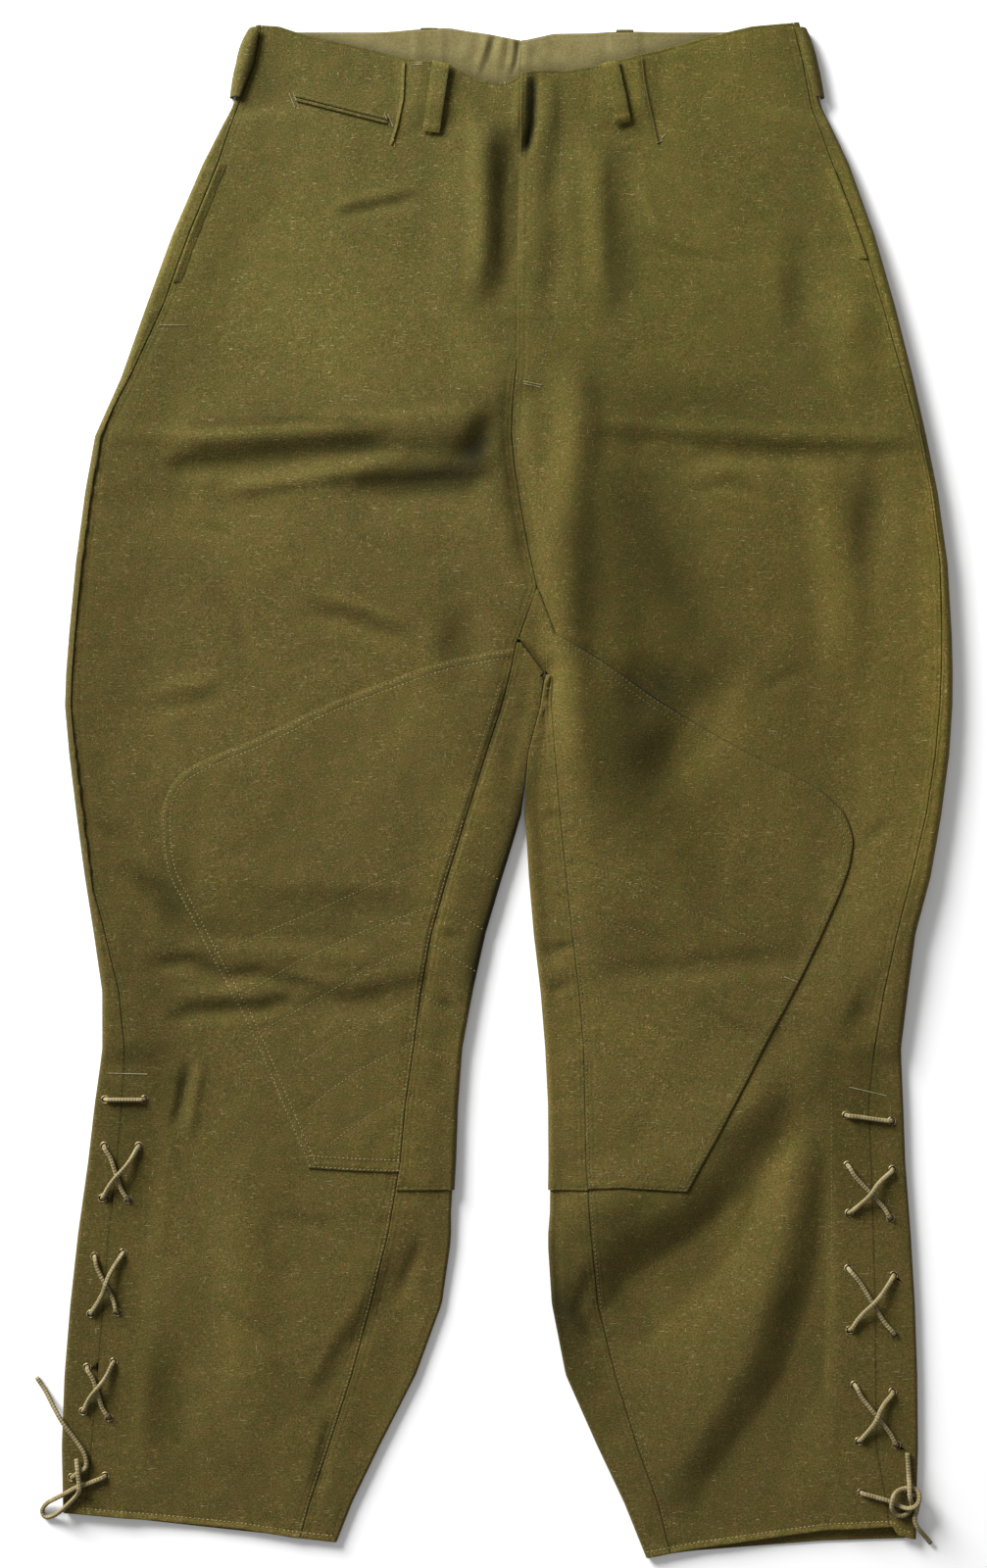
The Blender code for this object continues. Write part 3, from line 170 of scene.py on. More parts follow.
# painted light and painted shade on the cloth: half width, lighter (+) or darker (-), line
paintedShades = strokes((
    (44, -0.7, 76, 300, 82, 380, 90, 430, 84, 480, 72, 524),
    (30, -0.6, 96, 330, 104, 370, 128, 425, 116, 470, 88, 530), (28, -2.4, 90, 466, 126, 460),
    (26, -1.0, 92, 488, 74, 530), (26, -0.8, 124, 500, 100, 540, 84, 546),
    (22, -0.5, 60, 262, 62, 300, 58, 380, 60, 450, 66, 520), (46, -1.1, 90, 500, 100, 570, 130, 600),
    (30, -0.6, 134, 500, 136, 600), (40, -0.6, 70, 634, 120, 630),
    (50, -0.7, 108, 330, 140, 400, 152, 460), (26, -1.1, 44, 330, 50, 400, 52, 470),
    (34, -1.0, 60, 264, 130, 268, 200, 276), (20, -0.6, 58, 250, 62, 262),
    (12, -0.5, -140, 294, -60, 296), (46, -0.5, -304, 320, -310, 430, -308, 520, -288, 600, -280, 690),
    (60, -0.4, -286, 700, -298, 880, -304, 1040), (44, -0.5, 266, 716, 270, 800),
    (30, -0.8, 240, 706, 230, 760, 230, 850), (22, -0.8, 204, 850, 184, 920, 160, 966),
    (44, -0.3, 12, 530, -12, 610, -36, 710), (32, -2.0, 118, 818, 90, 834, 52, 856, 32, 866),
    (36, -2.5, 24, 876, 28, 920, 46, 956), (36, -0.7, 56, 960, 72, 1000), (24, -1.1, 90, 876, 50, 896),
    (26, -0.8, 64, 906, 90, 908), (16, -0.5, 221, 786, 214, 835, 205, 883, 196, 920),
    (24, -0.9, -10, 270, -24, 300, -60, 308), (22, -1.2, -14, 320, -60, 320, -110, 322),
    (9, -0.7, -166, 303, -126, 299, -88, 296), (12, -0.4, -236, 314, -190, 309, -156, 306),
    (5, -0.5, -222, 285, -191, 284, -142, 281, -93, 283), (20, -0.5, -280, 324, -210, 330, -170, 334),
    (12, -0.6, -110, 296, -80, 294), (11, -1.9, 13, 530, 8, 556, 1, 580, -6, 606, -19, 650, -26, 684),
    (34, -0.5, -170, 10, -180, 80), (40, -0.6, -244, 664, -180, 670),
    (22, -0.9, -236, 590, -226, 636, -160, 636, -90, 636), (30, -0.5, -210, 514, -232, 580),
    (40, -0.7, -252, 706, -254, 860), (34, -0.5, -206, 850, -212, 950), (26, -0.5, -180, 700, -146, 684),
    (110, 0.5, -170, 130, -110, 220), (60, 0.5, -212, 140, -150, 230, -66, 200, -66, 250),
    (70, 0.3, -220, 250, -120, 110, -60, 110), (30, 0.8, -212, 120, -228, 170, -224, 220),
    (26, 0.9, -34, 200, -24, 254), (20, 0.4, -40, 84, -42, 190), (60, 0.2, 150, 120, 170, 220),
    (64, 0.7, 120, 24, 200, 64), (26, 1.2, 228, 84, 256, 160, 276, 226, 282, 262),
    (22, 0.8, 230, 238, 226, 262), (34, 0.6, 110, 86, 106, 120), (28, -0.4, 92, 140, 94, 210),
    (44, 0.5, 296, 330, 302, 450, 290, 580, 258, 660), (22, 1.0, 300, 318, 303, 400, 303, 520, 290, 620),
    (16, 1.0, 298, 306, 303, 360), (24, 0.5, 14, 250, 12, 300), (22, 0.8, -16, 236, -30, 262),
    (26, 0.9, -26, 520, -46, 600, -52, 680), (16, 0.8, -34, 690, -38, 750), (30, 0.6, 194, 536, 204, 606),
    (30, 0.8, -62, 706, -72, 790, -66, 850), (34, 0.5, -92, 740, -96, 790),
    (56, 0.9, 44, 690, 100, 726, 60, 784), (20, 0.8, 34, 690, 36, 780), (20, 1.0, 208, 764, 196, 790),
    (24, 0.9, 206, 768, 184, 812, 156, 852), (30, 0.5, 150, 880, 124, 936), (30, 0.6, 262, 880, 258, 940),
    (44, 0.6, -176, 1000, -126, 1012), (26, 0.7, -84, 860, -62, 930), (9, 1.6, hemFront[:5]),
    (9, 1.8, hemFront[5:]), (24, -0.9, -244, 720, -228, 770), (24, -0.6, -240, 560, -226, 620),
    (30, -0.4, -250, 890, -236, 1020), (24, 0.5, -32, 560, -14, 534),
    (12, -0.8, -26, 44, -16, 76, -10, 120), (13, 1.0, -34, 46, -34, 76), (3, -1.0, -38.6, 34, -45.8, 79),
    (3, -0.6, 79.4, 31, 87.2, 72), (30, 0.8, 90, 20, 92, 60, 112, 90),
    (3, -1.3, 93.5, 26, 95.5, 44, 99.5, 63, 104, 84),
    (5, -0.6, 1, 466, -14.4, 514, -27.6, 556, -41.4, 600, -52.7, 640, -62, 700),
    (24, 0.8, 112, 10, 150, 6, 186, 6), (22, 0.7, 84, 34, 90, 58), (14, 0.7, -36, 50, -36, 66),
    (22, -0.6, -156, 30, -156, 60), (22, 0.6, 182, 150, 182, 186), (20, -0.6, 60, 244, 60, 280),
    (20, 0.6, 230, 244, 272, 232), (34, -0.5, -196, 324, -182, 352), (18, -0.6, -276, 322, -276, 350),
    (30, -0.5, 204, 322, 204, 350), (16, -0.6, -12, 316, -12, 328), (20, -0.5, 36, 340, 36, 424),
    (24, -0.6, 130, 442, 158, 442), (22, -0.5, 84, 460, 84, 494), (14, 0.6, -14, 506, -16, 590),
    (28, -0.5, 132, 576, 132, 614), (28, -0.5, 110, 634, 60, 634), (30, -0.5, -228, 634, -208, 580),
    (26, -0.5, -184, 684, -130, 682), (26, -0.5, -228, 706, -216, 772), (14, 0.8, -276, 722, -276, 740),
    (20, -0.6, 252, 706, 252, 806), (18, 0.6, 204, 700, 204, 790), (14, 0.6, 156, 780, 156, 880),
    (22, -0.5, 104, 802, 134, 802), (18, -0.7, 36, 870, 38, 900, 60, 926), (18, -0.5, 78, 894, 90, 902),
    (14, 0.5, 108, 890, 108, 924), (26, -0.5, -204, 872, -206, 924), (18, 0.6, 106, 1012, 134, 1024),
    (4, -1.3, 8.5, 433.5, 19, 443, 26, 456), (13, -0.5, 18, 412, 18, 434),
    (3.5, -0.4, 36.6, 430, 47, 435, 63.5, 443.5, 78, 452.6, 94.5, 465),
))
# painted shade on one panel only, in the same rows
sidePaintedShades = {"right": ((22, -2.3, ((-13, 288), (-20, 304), (-26, 320))),), "left": ()}
outerLift = {"rise": 4.4, "reach": 64, "rows": (60, 170, 650, 760)}    # the folded outer edges stand up
eyelets = {   # (across, down) on the front panel, (across, down) on the back's turned edge
    "right": ((-254, 756, -281.5, 756), (-257.8, 788.6, -282.1, 788.6), (-265.5, 826.3, -283.6, 825.3),
              (-269.1, 863.5, -288.8, 866), (-273, 905.1, -291.6, 906.3), (-275.5, 940, -294.1, 943.8),
              (-279, 978.9, -297.1, 974.7), (-281.5, 1020, -305, 1021)),
    "left": ((238, 767, 270, 771), (239, 802, 270.5, 805), (240, 835.6, 269, 839),
             (239.6, 874.4, 271.3, 879.3), (240.5, 917.6, 271.6, 920.5), (244, 956, 270.6, 961),
             (246.8, 995.6, 273.3, 998.1), (248.6, 1031.6, 281, 1033)),
}
eyelet = {"hole": 2.6, "inner": 2.1, "outer": 3.2, "proud": 0.55, "sunk": 0.35,
          "arc": (-60, 240), "steps": 28}
lacing = {"top": 735, "start": 715, "half": 24, "blend": 16}
patchReach = ((461, 34), (520, 76), (580, 100), (650, 96), (730, 74), (820, 50))
patchMargin, ramp = 4, 16
patchLiftRows = (418, 433, 836, 860)
softRamp = {"reach": 60, "rows": (370, 440, 825, 900)}       # how the front layer lies over the back patch
backLoops = {"right": (-54.5, 2.2), "left": (83, 3.5)}


# measures of the garment, on arrays of places
def along(line, at):
    return np.interp(at, [p[0] for p in line], [p[1] for p in line])


def edge(side, name, down):
    column = stationNames.index(side + name)
    return np.interp(down, [row[0] for row in stations], [row[column] for row in stations])


def smooth(t):
    t = np.clip(t, 0.0, 1.0)
    return t * t * (3 - 2 * t)


def bell(t):
    return 0.5 + 0.5 * np.cos(pi * np.clip(np.abs(t), 0, 1))


def between(top, bottom, down):      # across at a station on a line from one (across, down) to another
    return np.interp(down, (top[1], bottom[1]), (top[0], bottom[0]))


def rowDown(level, across, waist, hem):      # rows bend with the waist, the storage crease and the hem
    knots = (0, zones["waist"], zones["creaseTop"], zones["crease"], zones["creaseFoot"],
             zones["hem"], zones["end"])
    values = (along(waist, across), zones["waist"], zones["creaseTop"], along(storageCrease, across),
              zones["creaseFoot"], zones["hem"], along(hem, across))
    down = values[0]
    for k in range(len(knots) - 1):
        share = np.clip((level - knots[k]) / (knots[k + 1] - knots[k]), 0, 1)
        down = down + share * (values[k + 1] - values[k])
    return down


def rimDown(side, name, level):
    return rowDown(level, edge(side, name, level), waistFront, hemFront)


def fromLine(across, down, line):
    # distance to a line of points, the way along it to its nearer end, and how far to its side
    off = np.full(np.shape(across), 1e9)
    at, beside = np.zeros(np.shape(across)), np.zeros(np.shape(across))
    passed = 0.0
    for (a1, d1), (a2, d2) in zip(line, line[1:]):
        length = hypot(a2 - a1, d2 - d1)
        share = np.clip(((across - a1) * (a2 - a1) + (down - d1) * (d2 - d1)) / length ** 2, 0, 1)
        away = np.hypot(across - a1 - (a2 - a1) * share, down - d1 - (d2 - d1) * share)
        aside = ((across - a1) * (d2 - d1) - (down - d1) * (a2 - a1)) / length
        nearer = away < off
        off, beside = np.where(nearer, away, off), np.where(nearer, aside, beside)
        at = np.where(nearer, passed + share * length, at)
        passed += length
    return off, np.minimum(at, passed - at), beside


def foldRelief(across, down, table):
    total = np.zeros(np.shape(across))
    for half, height, line in table:
        off, toEnd = fromLine(across, down, line)[:2]
        total += height * smooth((toEnd + half) / (3 * half)) * bell(off / half)
    return total


def fallRelief(across, down, table):
    total = np.zeros(np.shape(across))
    for width, reach, drop, line in table:
        off, toEnd, beside = fromLine(across, down, line)
        share = np.clip(beside / width + 0.5, 0, 1)
        step = 1 - 2 * (0.55 * share + 0.45 * smooth(share))
        ends = smooth((toEnd + width / 4) / (width * 1.5))
        total += drop / 2 * step * bell(off / (reach + width / 2)) * ends
    return total


def patchRows(down):
    return np.interp(down, patchLiftRows, (0, 1, 1, 0))


def patchRamp(side, down):           # where the back layer rises over the patch, and where it is level
    out = sides[side]
    level = edge(side, "Inner", down) + out * (along(patchReach, down) + patchMargin)
    return level + out * ramp, level


def loopRamp(side):
    middle, out = backLoops[side][0], sides[side]
    flat = garment["loopWide"] / 2 + 3
    return [middle + out * s for s in (flat + ramp, flat, -flat, -flat - ramp)]


def backLift(side, across, down):    # height of the back layer's underside
    out = sides[side]
    start = patchRamp(side, down)[0]
    patch = patchLift * patchRows(down) * np.clip((start - across) * out / ramp, 0, 1)
    knots = [k * out for k in reversed(loopRamp(side))]
    loop = np.interp(across * out, knots, (0, 1, 1, 0)) * garment["loopLift"]
    return np.maximum(patch, loop * np.interp(down, (60, zones["waist"]), (1, 0)))


def lacingShare(side, across, down):
    off = np.abs(across - edge(side, "Outseam", down))
    sideways = 1 - smooth((off - lacing["half"]) / lacing["blend"])
    return sideways * smooth((down - lacing["start"]) / (lacing["top"] - lacing["start"]))


waveStep, waveStart = 2.5, (-350, -20)
waveEnd = (350, 1120)
waves = np.array([[0.75 * noise.noise(Vector((a / 46, d / 60, 2.5)))
                   + 0.4 * noise.noise(Vector((a / 17, d / 21, 7.1)))
                   + 0.14 * noise.noise(Vector((a / 7, d / 6, 4.2)))
                   for a in np.arange(waveStart[0], waveEnd[0], waveStep)]
                  for d in np.arange(waveStart[1], waveEnd[1], waveStep)])


def unevenness(across, down):        # the cloth's own slight waves
    column, row = (across - waveStart[0]) / waveStep, (down - waveStart[1]) / waveStep
    c, r = column.astype(int), row.astype(int)
    u, v = column - c, row - r
    upper = waves[r, c] * (1 - u) + waves[r, c + 1] * u
    return upper * (1 - v) + (waves[r + 1, c] * (1 - u) + waves[r + 1, c + 1] * u) * v


foldForm = {"foldScale": 1.25, "foldFade": (3, 12), "creaseFade": (1, 8), "fallFade": (-4, 16), "ends": 90}


def fade(away, limits):              # from nothing beside an edge to all of it further in
    return smooth((away - limits[0]) / limits[1])


def topHeight(side, across, down, fine=0.0):     # height of the upper layer's outer face
    across, down = np.broadcast_arrays(np.asarray(across, float), np.asarray(down, float))
    crotch = gusset["bottom"]
    inward = np.where(down > crotch[1], np.abs(across - edge(side, "Inner", down)),
                      np.hypot(across - crotch[0], down - crotch[1]))
    fromEdge = np.minimum(np.abs(across - edge(side, "Outer", down)), inward)
    form = foldRelief(across, down, folds) * fade(fromEdge, foldForm["foldFade"])
    if fine:
        small = foldRelief(across, down, creases) + unevenness(across, down)
        form = form * foldForm["foldScale"] + small * fine * fade(fromEdge, foldForm["creaseFade"])
        form = form + fallRelief(across, down, falls) * fade(fromEdge, foldForm["fallFade"])
    gap = garment["laidGap"] + form
    if fine:
        outer = np.abs(across - edge(side, "Outer", down))
        raised = np.interp(down, outerLift["rows"], (0, 1, 1, 0)) * fine
        gap = gap + outerLift["rise"] * raised * (1 - smooth(outer / outerLift["reach"]))
        fromEdge = fromEdge * (1 - raised) + inward * raised
    middle = smooth(fromEdge / garment["billowZone"]) * smooth(down / foldForm["ends"])
    gap += garment["billow"] * middle * smooth((zones["end"] - down) / foldForm["ends"])
    share = lacingShare(side, across, down)
    gap = gap * (1 - share) + garment["lacedGap"] * share
    least = np.where(down < zones["waist"], garment["facedGap"], garment["leastGap"])
    lift = backLift(side, across, down)
    if fine:
        level = patchRamp(side, down)[1]
        reach = smooth(1 - (across - level) * sides[side] / softRamp["reach"])
        lift = np.maximum(lift, patchLift * np.interp(down, softRamp["rows"], (0, 1, 1, 0)) * reach)
    return garment["wall"] * 2 + lift + np.maximum(gap, least)


def flyRaise(across, down):
    off = across - along(centreFront, down)
    share = 1 - smooth((off - fly["flat"]) / fly["blend"])
    return fly["raised"] * share * (1 - smooth((down - fly["foot"]) / fly["taper"]))


# the fold that stands open beside the fly, with its two banks: half width, height, line
flySlot = strokes((
    (5.5, -3.6, 19, 36, 18.5, 55, 17.5, 72, 13, 94), (9, 1.4, 31, 40, 31, 62, 28, 84),
    (6, 1.6, 9.5, 40, 8.5, 62, 7, 80),
))


def surface(side, across, down):     # the finished outer face of a front panel
    height = topHeight(side, across, down, fine=1.0)
    if side == "left":
        height = height + flyRaise(across, down)
    slot = foldRelief(across, down, flySlot) * fade(down, fly["slotFade"])
    return np.maximum(height + slot, garment["leastTop"])


def frontInner(side, level):         # across of a front's inner boundary: fly, gusset, then inseam
    out, half = sides[side], garment["seamGap"] / 2
    top, corner, bottom = gusset["top"], gusset[side], gusset["bottom"]
    if level <= top[1]:
        under = 0.0
        if side == "right":
            tapered = smooth((level - fly["extensionFoot"]) / fly["taper"])
            under = (fly["extension"] + garment["seamGap"]) * (1 - tapered)
        return along(centreFront, level) + out * half + under
    if level <= corner[1]:
        return between(top, corner, level) + out * half
    if level <= bottom[1] and side == "left":
        return between(corner, bottom, level) + out * 0.4
    return edge(side, "Inseam", level) + out * half


def place(across, down, height):
    return Vector((across * mm, (garment["length"] / 2 - down) * mm, height * mm))


rims = (0, 0.35, 0.8, 1.4, 2.2, 3.1, 4.4, 5.5, 6.6, 8.5)      # steps of a mesh beside an edge


def rimmed(start, end, count):       # positions from one edge to the other, close together at both
    way = min(1, abs(end - start) / (2.2 * rims[-1])) * (1 if end > start else -1)
    first = [start + way * r for r in rims]
    last = [end - way * r for r in reversed(rims)]
    return np.array(first + list(np.linspace(first[-1], last[0], count + 1))[1:-1] + last)


def edgeProfile(away, depth=0.55, width=1.5, rows=(2.2, 5.5), groove=0.22):
    # how far the outer face lies lower beside an edge: rounded rim and pulled-in rows of stitches
    t = 1 - np.clip(away / width, 0, 1)
    drop = depth * (1 - np.sqrt(np.clip(1 - t * t, 0, 1)))
    for row in rows:
        drop = drop + groove * bell((away - row) / 1.3)
    return drop


def atRim(away, depth=0.7, width=1.3):           # how much lower the cloth lies right at a rim, or how much painted shade darkens it there
    return depth * (1 - smooth(away / width))


def pucker(away, position, reach=9.0, size=0.22):      # small waves that a seam draws into the cloth
    wave = np.sin(position / 1.9 + 1.7 * np.sin(position / 13.0)) + 0.6 * np.sin(position / 3.3 + 1.0)
    return size * wave * np.exp(-away / reach) * smooth(away / 2.0)


def gridShell(name, across, down, height, wall, flip=False, keep=None, tone=None, holes=(), least=0.0):
    # a sheet over a grid of places, with the shade of each place and round holes for eyelets
    rows, columns = height.shape
    bm = bmesh.new()
    bmesh.ops.create_grid(bm, x_segments=columns - 1, y_segments=rows - 1, size=0.5)
    layer = bm.verts.layers.float.new("tone")
    shades = np.zeros(height.size) if tone is None else tone.ravel()
    for vert, a, d, h, t in zip(bm.verts, across.ravel(), down.ravel(), height.ravel(), shades):
        vert.co = place(a, d, h)
        vert[layer] = t
    if keep is not None:
        spare = [face for face, stays in zip(bm.faces, keep.ravel()) if not stays]
        bmesh.ops.delete(bm, geom=spare, context="FACES")
    pierce(bm, holes, least)
    if flip:
        bmesh.ops.reverse_faces(bm, faces=bm.faces)
    return wallUp(name, bm, wall)


def pierce(bm, holes, least):        # round holes for the eyelets, in the cloth above a height
    radius = eyelet["hole"] * mm
    for a, d in holes:
        centre = place(a, d, 0)
        around = [v for v in bm.verts if (v.co.xy - centre.xy).length < radius * 3 and v.co.z >= least * mm]
        inside = [v for v in around if (v.co.xy - centre.xy).length < radius]
        around = [v for v in around if v not in inside]
        bmesh.ops.delete(bm, geom=inside, context="VERTS")
        for vert in around:
            if vert.is_valid and vert.is_boundary:
                vert.co.xy = centre.xy + (vert.co.xy - centre.xy).normalized() * radius


def wallUp(name, bm, wall):
    for line in bm.edges:
        line.smooth = not line.is_boundary
    for face in bm.faces:
        face.smooth = True
    mesh = bpy.data.meshes.new(name)
    bm.to_mesh(mesh)
    bm.free()
    piece = bpy.data.objects.new(name, mesh)
    bpy.context.scene.collection.objects.link(piece)
    if wall:
        thick = piece.modifiers.new("wall", "SOLIDIFY")
        thick.thickness = wall * mm
        thick.offset = -1
    return piece


def dress(piece, material, nodes=()):
    piece.data.materials.append(material)
    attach(piece, "root")
    if nodes:
        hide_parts(*nodes)
    return piece


def dressDrill(piece, node):
    return dress(piece, drillFinish, [node])


def evenLine(line, step):            # points at even steps along a line
    points = np.array(line, float)
    spans = np.hypot(*np.diff(points, axis=0).T)
    passed = np.concatenate(([0], np.cumsum(spans)))
    count = max(int(round(passed[-1] / step)), 1)
    at = np.linspace(0, passed[-1], count + 1)
    return np.stack([np.interp(at, passed, points[:, 0]), np.interp(at, passed, points[:, 1])], axis=1)


def roundLine(line, parts=8):        # a smooth curve through the points of a line
    points = [np.array(p, float) for p in line]
    points = [2 * points[0] - points[1]] + points + [2 * points[-1] - points[-2]]
    made = []
    for p0, p1, p2, p3 in zip(points, points[1:], points[2:], points[3:]):
        for k in range(parts):
            t = k / parts
            made.append(0.5 * (2 * p1 + (p2 - p0) * t + (2 * p0 - 5 * p1 + 4 * p2 - p3) * t * t
                               + (3 * p1 - p0 - 3 * p2 + p3) * t ** 3))
    made.append(points[-2])
    return made


def offsetLine(line, amount):        # the line moved sideways, to the left of its run when positive
    points = np.array(line, float)
    run = np.gradient(points, axis=0)
    run /= np.hypot(run[:, 0], run[:, 1])[:, None]
    return points + np.stack([run[:, 1], -run[:, 0]], axis=1) * amount


print("tables and tools ready")


# camera, light and floor
view = {"height": 1.5333, "aim": (-0.0093, 0.0045), "lens": 50}
lamp = {"place": (-2.5, 2.7, 1.5), "size": 1.8, "power": 450.0}
skyStrength = 0.32


def makeStage():
    scene = bpy.context.scene
    camera = bpy.data.objects.new("camera", bpy.data.cameras.new("camera"))
    camera.data.lens = view["lens"]
    camera.location = (*view["aim"], view["height"])
    scene.collection.objects.link(camera)
    scene.camera = camera

    key = bpy.data.objects.new("key", bpy.data.lights.new("key", "AREA"))
    key.data.size = lamp["size"]
    key.data.energy = lamp["power"]
    key.location = lamp["place"]
    key.rotation_euler = (Vector((0, 0, 0)) - Vector(lamp["place"])).to_track_quat("-Z", "Y").to_euler()
    scene.collection.objects.link(key)

    world = bpy.data.worlds.new("sky")
    world.use_nodes = True
    world.node_tree.nodes["Background"].inputs["Color"].default_value = (1, 1, 1, 1)
    world.node_tree.nodes["Background"].inputs["Strength"].default_value = skyStrength
    scene.world = world
    scene.view_settings.view_transform = "Standard"

    bm = bmesh.new()
    bmesh.ops.create_grid(bm, x_segments=1, y_segments=1, size=6)
    floor = wallUp("floor", bm, 0)
    paper = Finish.start("floor_white")
    paper.shader({"Base Color": (0.93, 0.93, 0.93, 1), "Roughness": 1.0, "Specular IOR Level": 0.0,
                  "Emission Color": (1, 1, 1, 1), "Emission Strength": 0.05})
    floor.data.materials.append(paper.material)
    floor.location.z = -0.0002


class Finish:
    # a value in a material's nodes: sums and products of it add Math nodes
    def __init__(self, material, socket=None):
        self.material, self.socket = material, socket

    @classmethod
    def start(cls, name):
        material = bpy.data.materials.new(name)
        material.use_nodes = True
        material.node_tree.nodes.clear()
        return cls(material)

    def node(self, kind, settings=None, inputs=None, output=0):
        made = self.material.node_tree.nodes.new(kind)
        for name, value in (settings or {}).items():
            setattr(made, name, value)
        for name, value in (inputs or {}).items():
            if isinstance(value, Finish):
                self.material.node_tree.links.new(value.socket, made.inputs[name])
            else:
                made.inputs[name].default_value = value
        return Finish(self.material, made.outputs[output]) if len(made.outputs) else None

    def math(self, operation, first, second=0.0):
        return self.node("ShaderNodeMath", {"operation": operation}, {0: first, 1: second})

    def __add__(self, other):
        return self.math("ADD", self, other)

    def __sub__(self, other):
        return self.math("SUBTRACT", self, other)

    def __rsub__(self, other):
        return self.math("SUBTRACT", other, self)

    def __mul__(self, other):
        return self.math("MULTIPLY", self, other)

    def __truediv__(self, other):
        return self.math("DIVIDE", self, other)

    __radd__ = __add__
    __rmul__ = __mul__

    def axes(self):                  # the separate numbers of a place
        split = self.node("ShaderNodeSeparateXYZ", None, {0: self}).socket.node
        return [Finish(self.material, socket) for socket in split.outputs]

    def sine(self):
        return self.math("SINE", self)

    def span(self, low, high):       # 0 below low, 1 above high, smooth between
        return self.node("ShaderNodeMapRange", {"interpolation_type": "SMOOTHSTEP"},
                         {"Value": self, "From Min": low, "From Max": high})

    def tint(self, first, second):   # this value mixes two colours
        return self.node("ShaderNodeMix", {"data_type": "RGBA"}, {0: self, 6: first, 7: second}, output=2)

    def times(self, colour):
        return self.node("ShaderNodeVectorMath", {"operation": "MULTIPLY"}, {0: self, 1: colour})

    def scaled(self, factor):        # a colour made lighter or darker
        return self.node("ShaderNodeVectorMath", {"operation": "SCALE"}, {0: self, "Scale": factor})

    def grain(self, places, scale, detail=2.0, roughness=0.5):
        spread = self.node("ShaderNodeMapping", None, {"Vector": places, "Scale": scale})
        return self.node("ShaderNodeTexNoise", None,
                         {"Vector": spread, "Scale": 1.0, "Detail": detail, "Roughness": roughness})

    def bump(self, strength, distance):
        inputs = {"Strength": strength, "Distance": distance, "Height": self}
        return self.node("ShaderNodeBump", None, inputs)

    def shader(self, inputs):
        surfaceNode = self.node("ShaderNodeBsdfPrincipled", None, inputs)
        self.node("ShaderNodeOutputMaterial", None, {"Surface": surfaceNode})
        return self.material


drill = {
    "dark": (0.045, 0.034, 0.0052, 1), "green": (0.080, 0.068, 0.011, 1), "brown": (0.098, 0.071, 0.0135, 1),
    "light": (0.186, 0.149, 0.042, 1), "fibre": (0.31, 0.27, 0.125, 1), "twill": 0.0011,
    "worn": (1.03, 0.992, 1.1, 1), "fresh": (0.968, 1.01, 1.06, 1),
    "shadeHue": (0.97, 1, 0.62, 1), "seat": (0.995, 1, 0.86, 1), "plain": (1, 1, 1, 1),
}


def makeDrill(colours=drill, shadeDepth=0.34):
    f = Finish.start("drill_cloth")
    at = f.node("ShaderNodeTexCoord", output="Object")
    x, y = at.axes()[:2]
    tone = f.node("ShaderNodeAttribute", {"attribute_name": "tone"}, output="Fac")
    fleck = f.grain(at, (820, 1050, 900), detail=3.0, roughness=0.6)
    grit = f.grain(at, (1900, 1800, 1900), detail=2.0)
    mottle = f.grain(at, (90, 110, 100), detail=3.0)
    fade = f.grain(at, (11, 8, 9), detail=3.0)
    weft = f.grain(at, (190, 1500, 900), detail=1.0)
    warp = f.grain(at, (1500, 210, 900), detail=1.0)
    hue = mottle.span(0.36, 0.66).tint(colours["green"], colours["brown"])
    cloth = (fleck * 0.75 + grit * 0.25).span(0.34, 0.54).tint(colours["dark"], hue)
    cloth = (fleck * 0.6 + grit * 0.4).span(0.54, 0.70).tint(cloth, colours["light"])
    strands = f.math("MAXIMUM", weft.span(0.68, 0.76), warp.span(0.71, 0.79))
    cloth = (strands * 0.6).tint(cloth, colours["fibre"])
    # tone carries the painted shade and painted light; fade is the cloth's own uneven colour
    shade = 1 + tone * shadeDepth + (fade - 0.5) * 0.5
    cloth = cloth.scaled(shade).times(y.span(0.12, 0.36).tint(colours["worn"], colours["fresh"]))
    # painted shade: the darkest tones are made less blue
    cloth = cloth.times(tone.span(-1.8, 0.1).tint(colours["shadeHue"], colours["plain"]))
    cloth = cloth.times((x.span(-0.02, 0.06) * y.span(-0.12, 0.06)).tint(colours["plain"], colours["seat"]))
    ribs = ((x * 0.86 + y * 0.5) * (2 * pi / colours["twill"])).sine()
    relief = ribs * 0.25 + fleck * 1.3 + grit * 0.8
    return f.shader({"Base Color": cloth, "Roughness": 0.92, "Specular IOR Level": 0.18,
                     "Sheen Weight": 0.04, "Sheen Roughness": 0.45,
                     "Normal": relief.bump(0.55, 0.0005)})


facingColours = {"dark": (0.125, 0.103, 0.034, 1), "light": (0.175, 0.148, 0.057, 1), "weave": 0.0009}


def makeFacingFinish():
    f = Finish.start("facing_cotton")
    at = f.node("ShaderNodeTexCoord", output="Object")
    x, y = at.axes()[:2]
    tone = f.node("ShaderNodeAttribute", {"attribute_name": "tone"}, output="Fac")
    thread = 2 * pi / facingColours["weave"]
    weave = (x * thread).sine() * (y * thread).sine()
    fleck = f.grain(at, (600, 700, 600), detail=3.0)
    stain = f.grain(at, (60, 70, 60), detail=3.0)
    cloth = (fleck * 0.5 + stain * 0.5).span(0.36, 0.62).tint(facingColours["dark"], facingColours["light"])
    # tone darkens and lightens the facing with its painted shade
    return f.shader({"Base Color": cloth.scaled(1 + tone * 0.4), "Roughness": 0.9,
                     "Specular IOR Level": 0.25,
                     "Normal": (weave * 0.3 + fleck).bump(0.4, 0.0004)})


